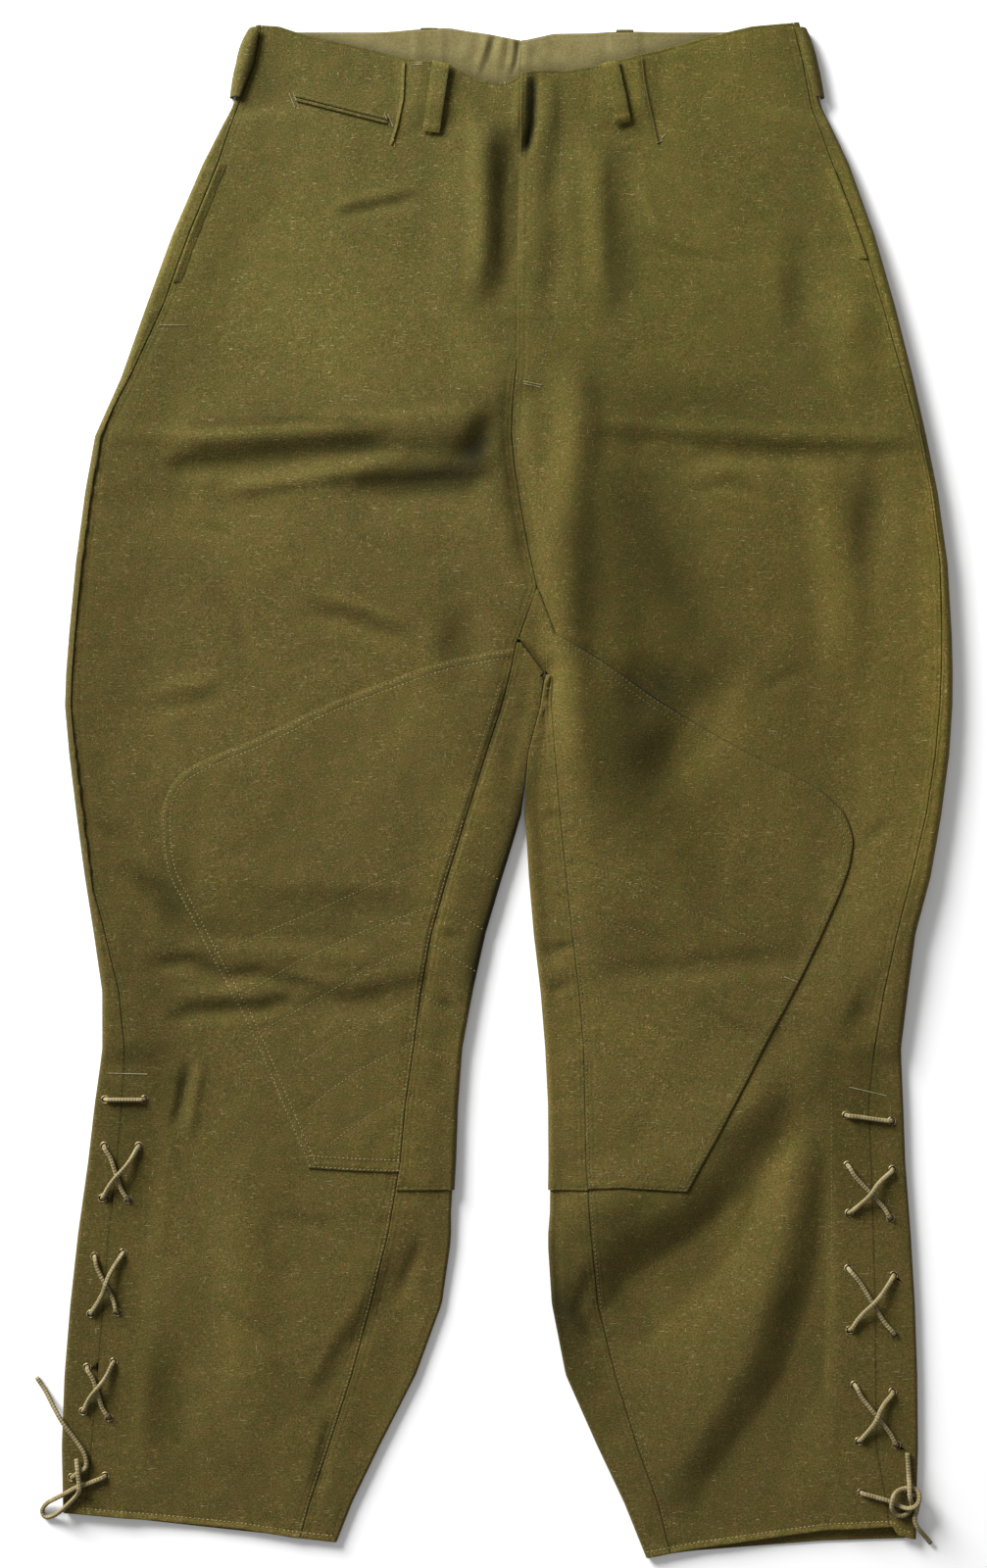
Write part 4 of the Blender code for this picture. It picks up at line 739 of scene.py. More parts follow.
def makeThread(name, colour):
    f = Finish.start(name)
    at = f.node("ShaderNodeTexCoord", output="Object")
    wear = f.grain(at, (160, 160, 160), detail=2.0)
    ply = f.grain(at, (2600, 2600, 2600), detail=1.0)
    pale = tuple(min(c * 1.35, 1) for c in colour) + (1,)
    deep = tuple(c * 0.55 for c in colour) + (1,)
    return f.shader({"Base Color": (wear * 0.6 + ply * 0.4).span(0.34, 0.66).tint(deep, pale),
                     "Roughness": 0.8, "Normal": ply.bump(0.4, 0.0002)})


laceColours = {"deep": (0.09, 0.069, 0.026, 1), "body": (0.215, 0.172, 0.078, 1),
               "pale": (0.30, 0.25, 0.13, 1), "plait": 0.0042}


def makeLaceFinish():
    f = Finish.start("lace_cord")
    run, around = f.node("ShaderNodeUVMap", {"uv_map": "run"}).axes()[:2]
    at = f.node("ShaderNodeTexCoord", output="Object")
    left = ((run / laceColours["plait"] + around * 2) * (2 * pi)).sine()
    right = ((run / laceColours["plait"] - around * 2) * (2 * pi)).sine()
    braid = left * right
    dust = f.grain(at, (90, 90, 90), detail=3.0)
    fuzz = f.grain(at, (1500, 1500, 1500), detail=2.0)
    cord = braid.span(-0.75, 0.1).tint(laceColours["deep"], laceColours["body"])
    cord = (dust * 0.5 + fuzz * 0.5).span(0.45, 0.65).tint(cord, laceColours["pale"])
    return f.shader({"Base Color": cord, "Roughness": 0.85, "Specular IOR Level": 0.3,
                     "Normal": (braid + fuzz * 0.6).bump(0.5, 0.0004)})


metalColours = {"dull": (0.10, 0.075, 0.035, 1), "bright": (0.42, 0.33, 0.17, 1)}


def makeMetal():
    f = Finish.start("eyelet_metal")
    at = f.node("ShaderNodeTexCoord", output="Object")
    patina = f.grain(at, (500, 500, 500), detail=3.0)
    brass = patina.span(0.35, 0.65).tint(metalColours["dull"], metalColours["bright"])
    return f.shader({"Base Color": brass,
                     "Metallic": 0.85, "Roughness": patina.span(0.3, 0.7) * 0.25 + 0.32})


makeStage()
drillFinish = makeDrill()
facingFinish = makeFacingFinish()
seamThread = makeThread("seam_thread", (0.30, 0.27, 0.135))
darkThread = makeThread("bag_thread", (0.15, 0.127, 0.05))
# painted shade: the left patch's edge thread is much darker, so that edge reads as a dark shaded line
patchThread = {"right": makeThread("patch_thread", (0.235, 0.20, 0.09)),
               "left": makeThread("shaded_patch_thread", (0.10, 0.084, 0.03))}
quiltThread = {"right": makeThread("quilt_thread", (0.19, 0.162, 0.066)),
               "left": makeThread("worn_thread", (0.145, 0.12, 0.044))}
tackThread = makeThread("tack_thread", (0.18, 0.155, 0.072))
laceFinish = makeLaceFinish()
metalFinish = makeMetal()
print("stage and finishes ready")


# laces, on the route of the frame's own ones
lace = {"diameter": 3.2, "outsideTurn": 2.2, "insideTurn": 1.6, "insideLift": 0.55,
        "crossing": ((0.2, 0.5, 0.9), (0.36, 2.2, 1.0), (0.5, 3.7, 0), (0.64, 2.2, -1.0), (0.8, 0.5, -0.9)),
        "under": ((0.22, 0, -1.1), (0.5, 0, 0), (0.78, 0, 1.1))}
laceStarts = {      # the tied end, from its tip to the front panel's lowest eyelet
    "right": ((-301, 1007, 9.4), (-300, 1013, 11.4), (-299, 1021, 12.2), (-298.5, 1027, 12.2),
              (-300.5, 1032, 8.9), (-306, 1038, 8.6), (-312.5, 1044, 8.0), (-319, 1049, 3.4),
              (-324.5, 1050, 1.8), (-326.5, 1045.5, 1.8), (-323, 1040, 3.6), (-316.5, 1035.5, 7.3),
              (-309, 1031.5, 8.5), (-302, 1027.6, 8.5), (-293, 1024.5, 8.5)),
    "left": ((280.4, 1003, 8.6), (281, 1012, 8.6), (281.2, 1019, 9.4), (281.2, 1024.6, 11.8),
             (281.2, 1029.6, 12.6), (281.8, 1034, 12.5), (283.3, 1037.9, 9.6), (283.1, 1041.4, 8.7),
             (280.2, 1045.4, 8.7), (275.8, 1047, 8.7), (271.2, 1044.6, 9.0), (268.9, 1040.2, 11.9),
             (269, 1035.4, 12.4), (271.2, 1031, 10.8), (275.6, 1028.6, 8.8), (281.2, 1027.6, 8.8),
             (286.2, 1028.4, 9.4), (288.2, 1031.8, 11.2), (287.4, 1036.4, 12.6), (284, 1039.8, 12.9),
             (279.2, 1041, 11.2), (274.2, 1039.8, 8.8), (268, 1037, 8.7), (258, 1034, 8.6)),
}
laceEnds = {        # the free end, from the back panel's lowest eyelet to its tip
    "right": ((-299.5, 1016.5, 8.6), (-294.5, 1012.5, 8.6), (-295.5, 1004, 8.6), (-302, 994, 8.4),
              (-311, 982, 8.2), (-318.5, 970.5, 5.4), (-324.5, 961, 1.9), (-330.5, 952, 1.8)),
    "left": ((286.2, 1033, 8.4), (288, 1036.6, 8.3), (287.6, 1041, 8.3), (286.6, 1045, 8.4),
             (285.6, 1050, 8.2), (288, 1056, 7.2), (293.5, 1062.8, 3.6), (298, 1068.5, 1.8)),
}


def laceOrder():
    last = len(eyelets["right"]) - 1
    rises = [(("back", "front")[row // 2 % 2], row) for row in range(last, -1, -1)]
    falls = [(("front", "back")[row // 2 % 2], row) for row in range(last + 1)]
    return rises + falls


def towards(start, target, amount):
    size = hypot(target[0] - start[0], target[1] - start[1])
    return tuple(s + (t - s) / size * amount for s, t in zip(start, target))


def laceRoute(side):
    eyes = [eyelets[side][row][:2] if column == "front" else eyelets[side][row][2:]
            for column, row in laceOrder()]
    inside = garment["wall"] + lace["insideLift"] + lace["diameter"] / 2
    over = garment["overlayGap"] + lace["diameter"] / 2
    stops = [laceStarts[side][-1][:2], *eyes, laceEnds[side][0][:2]]
    route = list(laceStarts[side])
    for index, eye in enumerate(eyes):
        before, after = stops[index], stops[index + 2]
        top = float(topHeight(side, *eye))
        enters = index % 2 == 0
        passage = [(*towards(eye, before if enters else after, lace["outsideTurn"]), top + over),
                   (*eye, top - garment["wall"] / 2),
                   (*towards(eye, after if enters else before, lace["insideTurn"]), inside)]
        route += passage if enters else passage[::-1]
        if not enters and index + 1 < len(eyes):
            onward = eyes[index + 1]
            climbs = (onward[0] - eye[0]) * (onward[1] - eye[1]) < 0      # such a strand lies on the other
            for share, rise, bow in lace["crossing"] if climbs else lace["under"]:
                a, d = (s + (t - s) * share for s, t in zip(eye, onward))
                route.append((a + bow, d, float(topHeight(side, a, d)) + over + rise))
    return route + list(laceEnds[side])


def tube(name, path, radius, around=12):
    # a round tube along the path, with a map of run and turn, closed at both ends
    bm = bmesh.new()
    bmesh.ops.create_grid(bm, x_segments=around, y_segments=len(path) - 1, size=0.5)
    runMap = bm.loops.layers.uv.new("run")
    points = [Vector(p) for p in path]
    last = len(points) - 1
    runs = [(points[min(k + 1, last)] - points[max(k - 1, 0)]).normalized() for k in range(last + 1)]
    sideways = runs[0].orthogonal().normalized()
    passed, spots = 0.0, []
    bm.verts.ensure_lookup_table()
    for k, (point, run) in enumerate(zip(points, runs)):
        sideways = (sideways - run * sideways.dot(run)).normalized()
        upward = run.cross(sideways)
        passed += (point - points[k - 1]).length if k else 0.0
        for c in range(around + 1):
            turn = 2 * pi * c / around
            bm.verts[k * (around + 1) + c].co = point + (sideways * cos(turn) + upward * sin(turn)) * radius
            spots.append((passed, c / around))
    for face in bm.faces:
        for loop in face.loops:
            loop[runMap].uv = spots[loop.vert.index]
    bmesh.ops.remove_doubles(bm, verts=bm.verts, dist=1e-6)
    ends = [e for e in bm.edges if e.is_boundary]
    bmesh.ops.holes_fill(bm, edges=ends, sides=around)
    bmesh.ops.recalc_face_normals(bm, faces=bm.faces)
    for face in bm.faces:
        face.smooth = True
    return wallUp(name, bm, 0)


for side in sides:
    route = laceRoute(side)
    path = [place(*p) for p in roundLine(route, parts=6)]
    piece = tube("lace_cord_" + side, path, lace["diameter"] / 2 * mm)
    dress(piece, laceFinish, ["lace_" + side])
print("laces made")


# front panels
front = {"rows": 318, "columns": 82, "flat": (0.30, 1.08), "area": 0.242, "lacedEdge": 0.8}


toneForm = {"crease": 1.4, "height": 4.5, "darkest": -1.3, "slot": 0.75, "slotFade": (26, 10)}


def toneOf(side, across, down):      # painted shade in troughs and the fly slot, painted light on ridges, and the painted shading tables
    form = foldRelief(across, down, folds) + toneForm["crease"] * foldRelief(across, down, creases)
    tone = np.clip(form / toneForm["height"], toneForm["darkest"], 1.0)
    slot = foldRelief(across, down, flySlot[:1]) * fade(down, toneForm["slotFade"])
    return tone + slot * toneForm["slot"] + foldRelief(across, down, paintedShades + sidePaintedShades[side])


def makeFront(side):
    out = sides[side]
    levels = rimmed(0, zones["end"], front["rows"])
    across, inner, outer = [], [], []
    for level in levels:
        start = frontInner(side, rimDown(side, "Inseam", level))
        end = edge(side, "Outseam", rimDown(side, "Outseam", level)) - out * garment["seamGap"] / 2
        across.append(rimmed(start, end, front["columns"]))
        inner.append(start)
        outer.append(end)
    across = np.array(across)
    level = np.repeat(levels[:, None], across.shape[1], axis=1)
    inner, outer = np.array(inner)[:, None], np.array(outer)[:, None]
    down = rowDown(level, across, waistFront, hemFront)
    height = surface(side, across, down)
    fromInner, fromOuter = np.abs(across - inner), np.abs(across - outer)
    fromWaist, fromHem = down - along(waistFront, across), along(hemFront, across) - down
    laced = lacingShare(side, across, down)
    flap = (down < fly["foot"]) & (side == "left")
    seamed = np.where(flap, 0.0, 1.0)
    height = height - edgeProfile(fromInner) - edgeProfile(fromOuter) * (1 - front["lacedEdge"] * laced)
    height = height - edgeProfile(fromWaist, rows=(2.4,)) - edgeProfile(fromHem, rows=(4.6,), groove=0.35)
    height = height + pucker(fromInner, down) * seamed + pucker(fromOuter, down + 7, size=0.16) * (1 - laced)
    height = height + pucker(fromHem, across, reach=5, size=0.2) + pucker(fromWaist, across, size=0.14)
    nearest = np.minimum(np.minimum(fromInner, fromOuter), np.minimum(fromWaist, fromHem))
    # painted shade along the seams and edges
    tone = toneOf(side, across, down) - atRim(nearest)
    piece = gridShell("front_cloth_" + side, across, down, height, garment["wall"], flip=side == "left",
                      tone=tone, holes=[row[:2] for row in eyelets[side]])
    return dressDrill(piece, "front_" + side)


# back panels, which wrap round both folded edges
back = {"rows": 300, "wrap": (0, 0.07, 0.15, 0.26, 0.42, 0.6, 0.8), "turn": 12, "bottom": 34, "inner": 12,
        "flat": (0.36, 1.08), "area": 0.308, "crotchRows": (456, 457, 462.5), "settle": 7}


def foldSection(side, name, level):
    # middle of a folded edge: where its round starts, its lowest and highest heights
    out = sides[side]
    down = rimDown(side, name, level)
    rim = edge(side, name, down)
    if name == "Inner":
        rim += out * (patchLift + 0.1) * patchRows(down)
        out = -out
    top = topHeight(side, rim - out * 3, down, fine=1.0)
    low = backLift(side, rim - out * 3, down)
    radius = (top - low) / 2
    return float(rim - out * radius), float(low + radius), float(radius), out


def turnPoints(section, angles, square=0.0):     # a half round, or one with squarer corners
    middle, height, radius, out = section
    points = []
    for a in angles:
        x, z = cos(radians(a)), sin(radians(a))
        points.append((middle + out * radius * max(x, 0) ** (1 - square),
                       height + radius * abs(z) ** (1 - square) * (1 if z > 0 else -1)))
    return points


def legsMeet(down):                  # where the two inner folded edges press on one another
    return float(np.interp(down, (456, 464, 536, 566), (0, 0.72, 0.7, 0)))


def backRow(side, level):
    # one section of a back panel: seam, folded edge, underside, inner edge, inseam
    out = sides[side]
    at = level + 1 if abs(level - zones["crotch"]) < 0.01 else level
    half = garment["seamGap"] / 2
    seam = edge(side, "Outseam", rimDown(side, "Outseam", at)) + out * half
    inseam = edge(side, "Inseam", rimDown(side, "Inseam", at)) - out * half
    outerTurn, innerTurn = foldSection(side, "Outer", at), foldSection(side, "Inner", at)
    angles = np.linspace(90, -90, back["turn"] + 1)
    first, last = turnPoints(outerTurn, angles), turnPoints(innerTurn, angles, legsMeet(at))[::-1]
    wrapStart, wrapEnd = first[0][0], last[-1][0]
    wrap = [(seam + (wrapStart - seam) * s, None) for s in back["wrap"]]
    stop = last[0][0]
    if level < zones["crotch"] - 0.01:
        pastTop = at > gusset["top"][1]
        stop = between(gusset["top"], gusset["bottom"], at) if pastTop else along(centreFront, at)
        stop = stop + out * half
    bottom = [(a, None) for a in np.linspace(first[-1][0], stop, back["bottom"] + 1)[1:]]
    inner = [(a, None) for a in rimmed(inseam, tongueEnd(side, level, wrapEnd), back["inner"])[::-1][1:]]
    return wrap, first, bottom, last[1:], inner, at, (seam, inseam), (outerTurn, innerTurn)


def tongueEnd(side, level, wrapEnd):     # beside the gusset the turned-in strip ends at its edge
    corner, bottom = gusset[side], gusset["bottom"]
    if level > bottom[1]:
        return wrapEnd
    return between(corner, bottom, max(level, corner[1] + 1)) + sides[side] * 0.5


def makeBack(side):
    levels = rimmed(0, zones["end"], back["rows"])
    before, closing, after = back["crotchRows"]
    levels = levels[(levels < before) | (levels > after)]
    levels = np.sort(np.append(levels, (closing, zones["crotch"])))
    rows = []
    for level in levels:
        wrap, first, bottom, last, inner, at, seams, turns = backRow(side, level)
        a = np.array([p[0] for p in wrap + first + bottom + last + inner], float)
        under = np.zeros(len(a), bool)
        under[len(wrap) + len(first):len(wrap) + len(first) + len(bottom)] = True
        d = np.where(under, rowDown(at, a, waistBack, hemBack), rowDown(at, a, waistFront, hemFront))
        if abs(level - zones["crotch"]) < 0.01:
            d = np.full(len(a), at, float)
        h = np.where(under, backLift(side, a, d), topHeight(side, a, d, fine=1.0))
        start, end = len(wrap), len(wrap) + len(first)
        h[start:end] = [p[1] for p in first]
        begin = end + len(bottom)
        h[begin:begin + len(last)] = [p[1] for p in last]
        hem = along(hemFront, a) - d
        topSide = ~under
        for part, turn, seam in ((slice(0, start), turns[0], seams[0]),
                                 (slice(begin + len(last), None), turns[1], seams[1])):
            near = np.abs(a[part] - turn[0])
            if level > gusset["bottom"][1] or seam == seams[0]:
                h[part] += (turn[1] + turn[2] - h[part]) * (1 - smooth(near / back["settle"]))
            away = np.abs(a[part] - seam)
            laced = lacingShare(side, a[part], d[part]) if seam == seams[0] else 0.0
            h[part] -= (edgeProfile(away) * (1 - front["lacedEdge"] * laced)
                        + edgeProfile(hem[part], rows=(4.6,), groove=0.3))
            h[part] += pucker(away, d[part] + 3) * (1 - laced)
        tone = np.where(topSide, toneOf(side, a, d), 0.0)
        # painted shade along both seams
        for seam in seams:
            tone = tone - np.where(topSide, atRim(np.abs(a - seam)), 0.0)
        rows.append((a, d, h, tone))
    across, down, height, tone = (np.array([row[k] for row in rows]) for k in range(4))
    columns = across.shape[1]
    stop = len(back["wrap"]) + back["turn"] + 1 + back["bottom"] - 1
    column = np.arange(columns - 1)[None, :]
    keep = (levels[:-1, None] >= zones["crotch"] - 0.01) | (column < stop)
    tongue = columns - (back["inner"] + 2 * len(rims) - 2)
    keep = keep | ((levels[:-1, None] > gusset["right"][1] + 2) & (column >= tongue) & (side == "right"))
    piece = gridShell("back_cloth_" + side, across, down, height, garment["wall"], flip=side == "left",
                      keep=keep, tone=tone, holes=[row[2:] for row in eyelets[side]], least=4.0)
    return dressDrill(piece, "back_" + side)


for side in sides:
    makeFront(side)
    makeBack(side)
print("panels made")


# knee patches, stitched on the panels and round the inner edge to the back
patch = {
    "lift": garment["overlayGap"] + garment["patchWall"], "rows": 110, "columns": 78, "backRows": 118,
    "flatFront": (0.26, 0.38), "areaFront": 0.0515, "flatBack": (0.17, 0.36), "areaBack": 0.0385,
    "seamShade": {"right": 0.7, "left": 0.3},        # how deep each leg's inseam lies, and how dark its painted shade
    # edgeShade: painted shade along each patch's edge
    "edgeShade": {"right": 0.5, "left": 1.7}, "backFoot": 819.5, "quiltDepth": 0.3, "quiltHalf": 2.2,
    "edge": {
        "right": ((6.4, 440), (-6, 441), (-33, 446), (-52, 451), (-88, 464), (-126, 479), (-172, 501),
                  (-212, 518), (-232, 531), (-241, 549), (-242, 569), (-238, 597), (-226, 621),
                  (-200, 671), (-180, 709), (-154, 769), (-139, 804)),
        "left": ((27.4, 430), (37, 431), (66, 448), (113, 480), (166, 511), (200, 528), (221, 540),
                 (235, 553), (242, 570), (242, 582), (236, 605), (211, 662), (179, 722), (154, 769),
                 (126, 820)),
    },
    "foot": {"right": ((-139, 804), (-104, 806), (-74.5, 807)),
             "left": ((126, 820), (80, 817.5), (56, 819))},
    "corner": {"right": 9, "left": 7},       # the point of the edge where it turns down
}
quilting = (        # decorative rows of stitches on the right patch, from its edge to the inseam
    ((-205.6, 654), (-132.7, 623.3), (-69, 594), (-36, 583)),
    ((-185.8, 683), (-146, 659), (-100.7, 638), (-50.5, 619.4)),
    ((-170, 707), (-122, 679), (-95.6, 663), (-55.9, 647)),
    ((-143.4, 729.5), (-122, 713.6), (-95.6, 700), (-61, 682)),
    ((-139.4, 762.7), (-122, 748), (-103.5, 735), (-66.4, 716)),
    ((-126, 789), (-111.6, 777.3), (-95.6, 766.6), (-71.8, 752)),
)
quiltMirror = -7.0           # the left patch has the same rows, mirrored
quiltFall = 0.62             # past the inseam each row runs down to the folded edge


def quiltLines(side):
    return [[(a if side == "right" else quiltMirror - a, d) for a, d in row] for row in quilting]


def fillQuad(top, foot, inner, outer, rows, columns):
    # a grid between four edge lines: top and foot run from inner to outer, the others from top to foot
    def spaced(line, count):
        points = np.array(line, float)
        passed = np.concatenate(([0], np.cumsum(np.hypot(*np.diff(points, axis=0).T))))
        wholeCount = count + 2 * len(rims) - 1
        at = rimmed(0, passed[-1], count) if passed[-1] > 40 else np.linspace(0, passed[-1], wholeCount)
        spots = [np.interp(at, passed, points[:, k]) for k in (0, 1)]
        return np.stack(spots, axis=1), at / passed[-1]
    upper, u1 = spaced(top, columns)
    lower, u2 = spaced(foot, columns)
    first, v1 = spaced(inner, rows)
    last, v2 = spaced(outer, rows)
    v = ((v1 + v2) / 2)[:, None, None]
    u = (u1[None, :] * (1 - v[:, :, 0]) + u2[None, :] * v[:, :, 0])[:, :, None]
    corners = ((1 - u) * (1 - v) * upper[0] + u * (1 - v) * upper[-1]
               + (1 - u) * v * lower[0] + u * v * lower[-1])
    return (1 - v) * upper[None] + v * lower[None] + (1 - u) * first[:, None] + u * last[:, None] - corners


def quiltGroove(across, down, line):
    return patch["quiltDepth"] * bell(fromLine(across, down, line)[0] / patch["quiltHalf"])


def makeFrontPatch(side):
    run = patch["edge"][side]
    corner = patch["corner"][side]
    top = roundLine(run[:corner + 1])
    outer = roundLine(run[corner - 1:])[8:]
    levels = np.linspace(run[0][1], patch["foot"][side][-1][1], 90)
    above = gusset["bottom"][1] if side == "left" else 0         # beside the gusset this edge is upright
    inner = [(run[0][0] if level < above else float(frontInner(side, level)), level) for level in levels]
    foot = [inner[-1]] + list(patch["foot"][side][::-1][1:])
    grid = fillQuad(top, foot, inner, outer, patch["rows"], patch["columns"])
    across, down = grid[:, :, 0], grid[:, :, 1]
    away = fromLine(across, down, top + outer[1:] + foot[::-1][1:])[0]
    seam = fromLine(across, down, inner)[0]
    height = surface(side, across, down) + patch["lift"]
    height = height - edgeProfile(away, depth=0.95, width=2.6, rows=(1.9, 6.4), groove=0.2)
    height = height - edgeProfile(seam, depth=0.2 + patch["seamShade"][side] / 2)
    height = height + pucker(away, across + down, reach=6, size=0.12)
    height = height + pucker(seam, down)
    for line in quiltLines(side):
        height = height - quiltGroove(across, down, line)
    # painted shade along the inseam and, darkest on the left patch, along the patch's edge
    tone = toneOf(side, across, down) - atRim(seam, patch["seamShade"][side])
    tone = tone - atRim(away, patch["edgeShade"][side], 1.4)
    piece = gridShell("knee_cloth_front_" + side, across, down, height, garment["patchWall"] * 0.95,
                      flip=side == "left", tone=tone)
    return dressDrill(piece, "knee_patch_front_" + side)


def makeBackPatch(side):
    out = sides[side]
    start = gusset["right"][1] + 2.5 if side == "right" else gusset["bottom"][1] + 1
    levels = rimmed(start, patch["backFoot"], patch["backRows"])
    rows = []
    for level in levels:
        down = rimDown(side, "Inseam", level)
        inseam = float(edge(side, "Inseam", down) - out * garment["seamGap"] / 2)
        middle, low, radius, way = foldSection(side, "Inner", level)
        grown = (middle, low, radius + patch["lift"], way)
        turn = turnPoints(grown, np.linspace(90, -90, 15), legsMeet(level))
        wrap = rimmed(inseam, tongueEnd(side, level, turn[0][0]), 8)[:-1]
        reach = float(edge(side, "Inner", level) + out * along(patchReach, level))
        bottom = np.linspace(turn[-1][0], reach, 26)[1:]
        a = np.concatenate((wrap, [p[0] for p in turn], bottom))
        h = np.concatenate((topHeight(side, wrap, level, fine=1.0) + patch["lift"],
                            [p[1] for p in turn], backLift(side, bottom, level) - patch["lift"]))
        count = len(wrap)
        near = np.abs(a[:count] - middle)
        if level > gusset["bottom"][1]:
            h[:count] += (low + radius + patch["lift"] - h[:count]) * (1 - smooth(near / back["settle"]))
        away = np.abs(a[:count] - inseam)
        h[:count] += pucker(away, level + 3) - edgeProfile(away, depth=0.2 + patch["seamShade"][side] / 2)
        h[:count] -= edgeProfile(patch["backFoot"] - level, rows=(2,))
        spot = np.arange(len(a))
        # painted shade along the inseam
        seam = np.where(spot < count, atRim(np.abs(a - inseam), patch["seamShade"][side]), 0)
        tone = np.where(spot < count + 12, toneOf(side, a, level), 0.1) - seam
        rows.append((a, np.full(len(a), level, float), h, tone))
    across, down, height, tone = (np.array([row[k] for row in rows]) for k in range(4))
    for line in wrapQuilting(side):
        height = height - np.where(height > 2.5, quiltGroove(across, down, line), 0)
    keep = (levels[:-1, None] > gusset["bottom"][1]) | (np.arange(across.shape[1] - 1)[None, :] < count - 1)
    piece = gridShell("knee_cloth_back_" + side, across, down, height, garment["patchWall"] * 0.95,
                      flip=side == "right", keep=keep, tone=tone)
    return dressDrill(piece, "knee_patch_back_" + side)


def wrapQuilting(side):              # each row of stitches goes on beyond the inseam to the folded edge
    lines = []
    for row in quiltLines(side):
        a, d = row[-1]
        seam = float(edge(side, "Inseam", d))
        d += (seam - a) / (row[-1][0] - row[-2][0]) * (row[-1][1] - row[-2][1])
        span = float(edge(side, "Inner", d)) - seam
        lines.append(((seam, d), (seam + span, d + abs(span) * quiltFall)))
    return lines


for side in sides:
    makeFrontPatch(side)
    makeBackPatch(side)
print("knee patches made")


# gusset, waist pieces and pockets; the gusset's foot and corner points are tucked in at the seams
tuck = {"pull": 0.6, "foot": 25.3, "footDown": 4, "corner": 1.6, "flat": (0.034, 0.056), "area": 0.0007}


def makeGusset():
    names = ("top", "right", "left", "bottom")
    middle = tuple(sum(gusset[k][i] for k in names) / 4 for i in (0, 1))

    def pulled(point):
        off = (point[0] - middle[0], point[1] - middle[1])
        share = 1 - tuck["pull"] / hypot(*off)
        return (middle[0] + off[0] * share, middle[1] + off[1] * share)

    top, right, left, bottom = (pulled(gusset[k]) for k in names)
    grid = fillQuad((top, left), (right, bottom), (top, right), (left, bottom), 8, 8)
    across, down = grid[:, :, 0], grid[:, :, 1]
    foot, corner = down == down.max(), across == across.min()
    across = np.where(foot, tuck["foot"], np.where(corner, across - tuck["corner"], across))
    down = np.where(foot, down + tuck["footDown"], down)
    height = np.where(across < middle[0], topHeight("right", across, down, fine=1.0),
                      topHeight("left", across, down, fine=1.0))
    away = fromLine(across, down, (top, left, bottom, right, top))[0]
    height = height - edgeProfile(away, rows=(1.8,), groove=0.2) + 0.1
    # painted shade along the gusset's edges
    tone = toneOf("right", across, down) - atRim(away, width=1.2)
    piece = gridShell("crotch_gusset_cloth", across, down, height, garment["wall"] * 0.9, tone=tone)
    return dressDrill(piece, "crotch_gusset")


facingPiece = {"deep": 54, "start": 9.5, "ends": {"right": -150, "left": 174}, "fromTop": 1.0,
               "columns": 150, "rows": 34, "crowding": 1.2, "hill": 1.5, "hillHalf": 80, "wave": 0.12,
               "flat": (0.175, 0.05), "area": 0.0075}
gathers = strokes((
    (6, 0.9, -13.5, 5, -16, 20, -20, 34), (4, -0.9, -9, 10, -14, 25, -18.6, 38),
    (6, 1.1, -3, 5, -5, 20, -8, 36), (4, 0.8, 4.7, 5, 4, 20, 1, 34),
    (2.6, -0.8, 8.3, 12, 6.5, 27, 2.8, 38), (5, 0.6, 14, 8, 14, 24, 12, 36),
    (7, 0.4, -27, 5, -29, 20, -33, 32), (6, 0.3, 26, 6, 27, 20, 27, 32),
))


def makeFacing(side):
    out = sides[side]
    start = facingPiece["start"] + out * garment["seamGap"] / 2
    line = rimmed(start, facingPiece["ends"][side], facingPiece["columns"])
    shares = np.linspace(0, 1, facingPiece["rows"])[:, None] ** facingPiece["crowding"]
    top = along(waistBack, line) + facingPiece["fromTop"]
    down = top + (facingPiece["deep"] - top) * shares
    across = np.repeat(line[None, :], len(shares), axis=0)
    hill = facingPiece["hill"] * bell((across - backLoops[side][0]) / facingPiece["hillHalf"])
    hill = hill * np.interp(down, (60, zones["waist"]), (1, 0))
    height = garment["wall"] + garment["overlayGap"] + garment["facingWall"]
    height = height + np.maximum(backLift(side, across, down), hill)
    height = height + foldRelief(across, down, gathers) * (1 - shares * 0.9)
    height = height + facingPiece["wave"] * np.abs(unevenness(across * 1.6, down * 1.6))
    fromTop = down - top
    height = height - edgeProfile(fromTop, depth=0.4, rows=(2.2,), groove=0.2)
    covered = along(waistFront, across) - down
    # painted shade: troughs of the gathers darker, ridges lighter, and darker near the front's waist edge,
    # in its painted shadow
    tone = foldRelief(across, down, gathers) * 0.6 - atRim(covered, 0.8, 9)
    piece = gridShell("waist_facing_cloth_" + side, across, down, height, garment["facingWall"] * 0.9,
                      flip=side == "left", tone=tone)
    return dress(piece, facingFinish, ["waist_facing_" + side])


loop = {"ends": {"right": ((-46, 30), (-53, 78)), "left": ((72, 30), (81, 72))},
        "bulge": 0.5, "under": 0.2, "sunkEnd": 0.5, "tack": 3.2, "top": 1.2, "long": 50,
        "sideTop": 5, "sideFoot": 53, "sideBulge": {"right": 4.6, "left": 2.4}, "sideGap": 0.6,
        "sideTurn": (-22, 96), "lowest": 0.05, "flat": (0.0115, 0.055), "frontArea": 0.00056,
        "backArea": 0.00055, "sideFlat": (0.0135, 0.06), "sideArea": 0.00078}


def crowned(share):                  # cross profile of a folded strap, edges rolled down
    return 0.35 * (1 - np.abs(share) ** 6) - 0.35 - 0.16 * bell((np.abs(share) - 0.72) / 0.16)


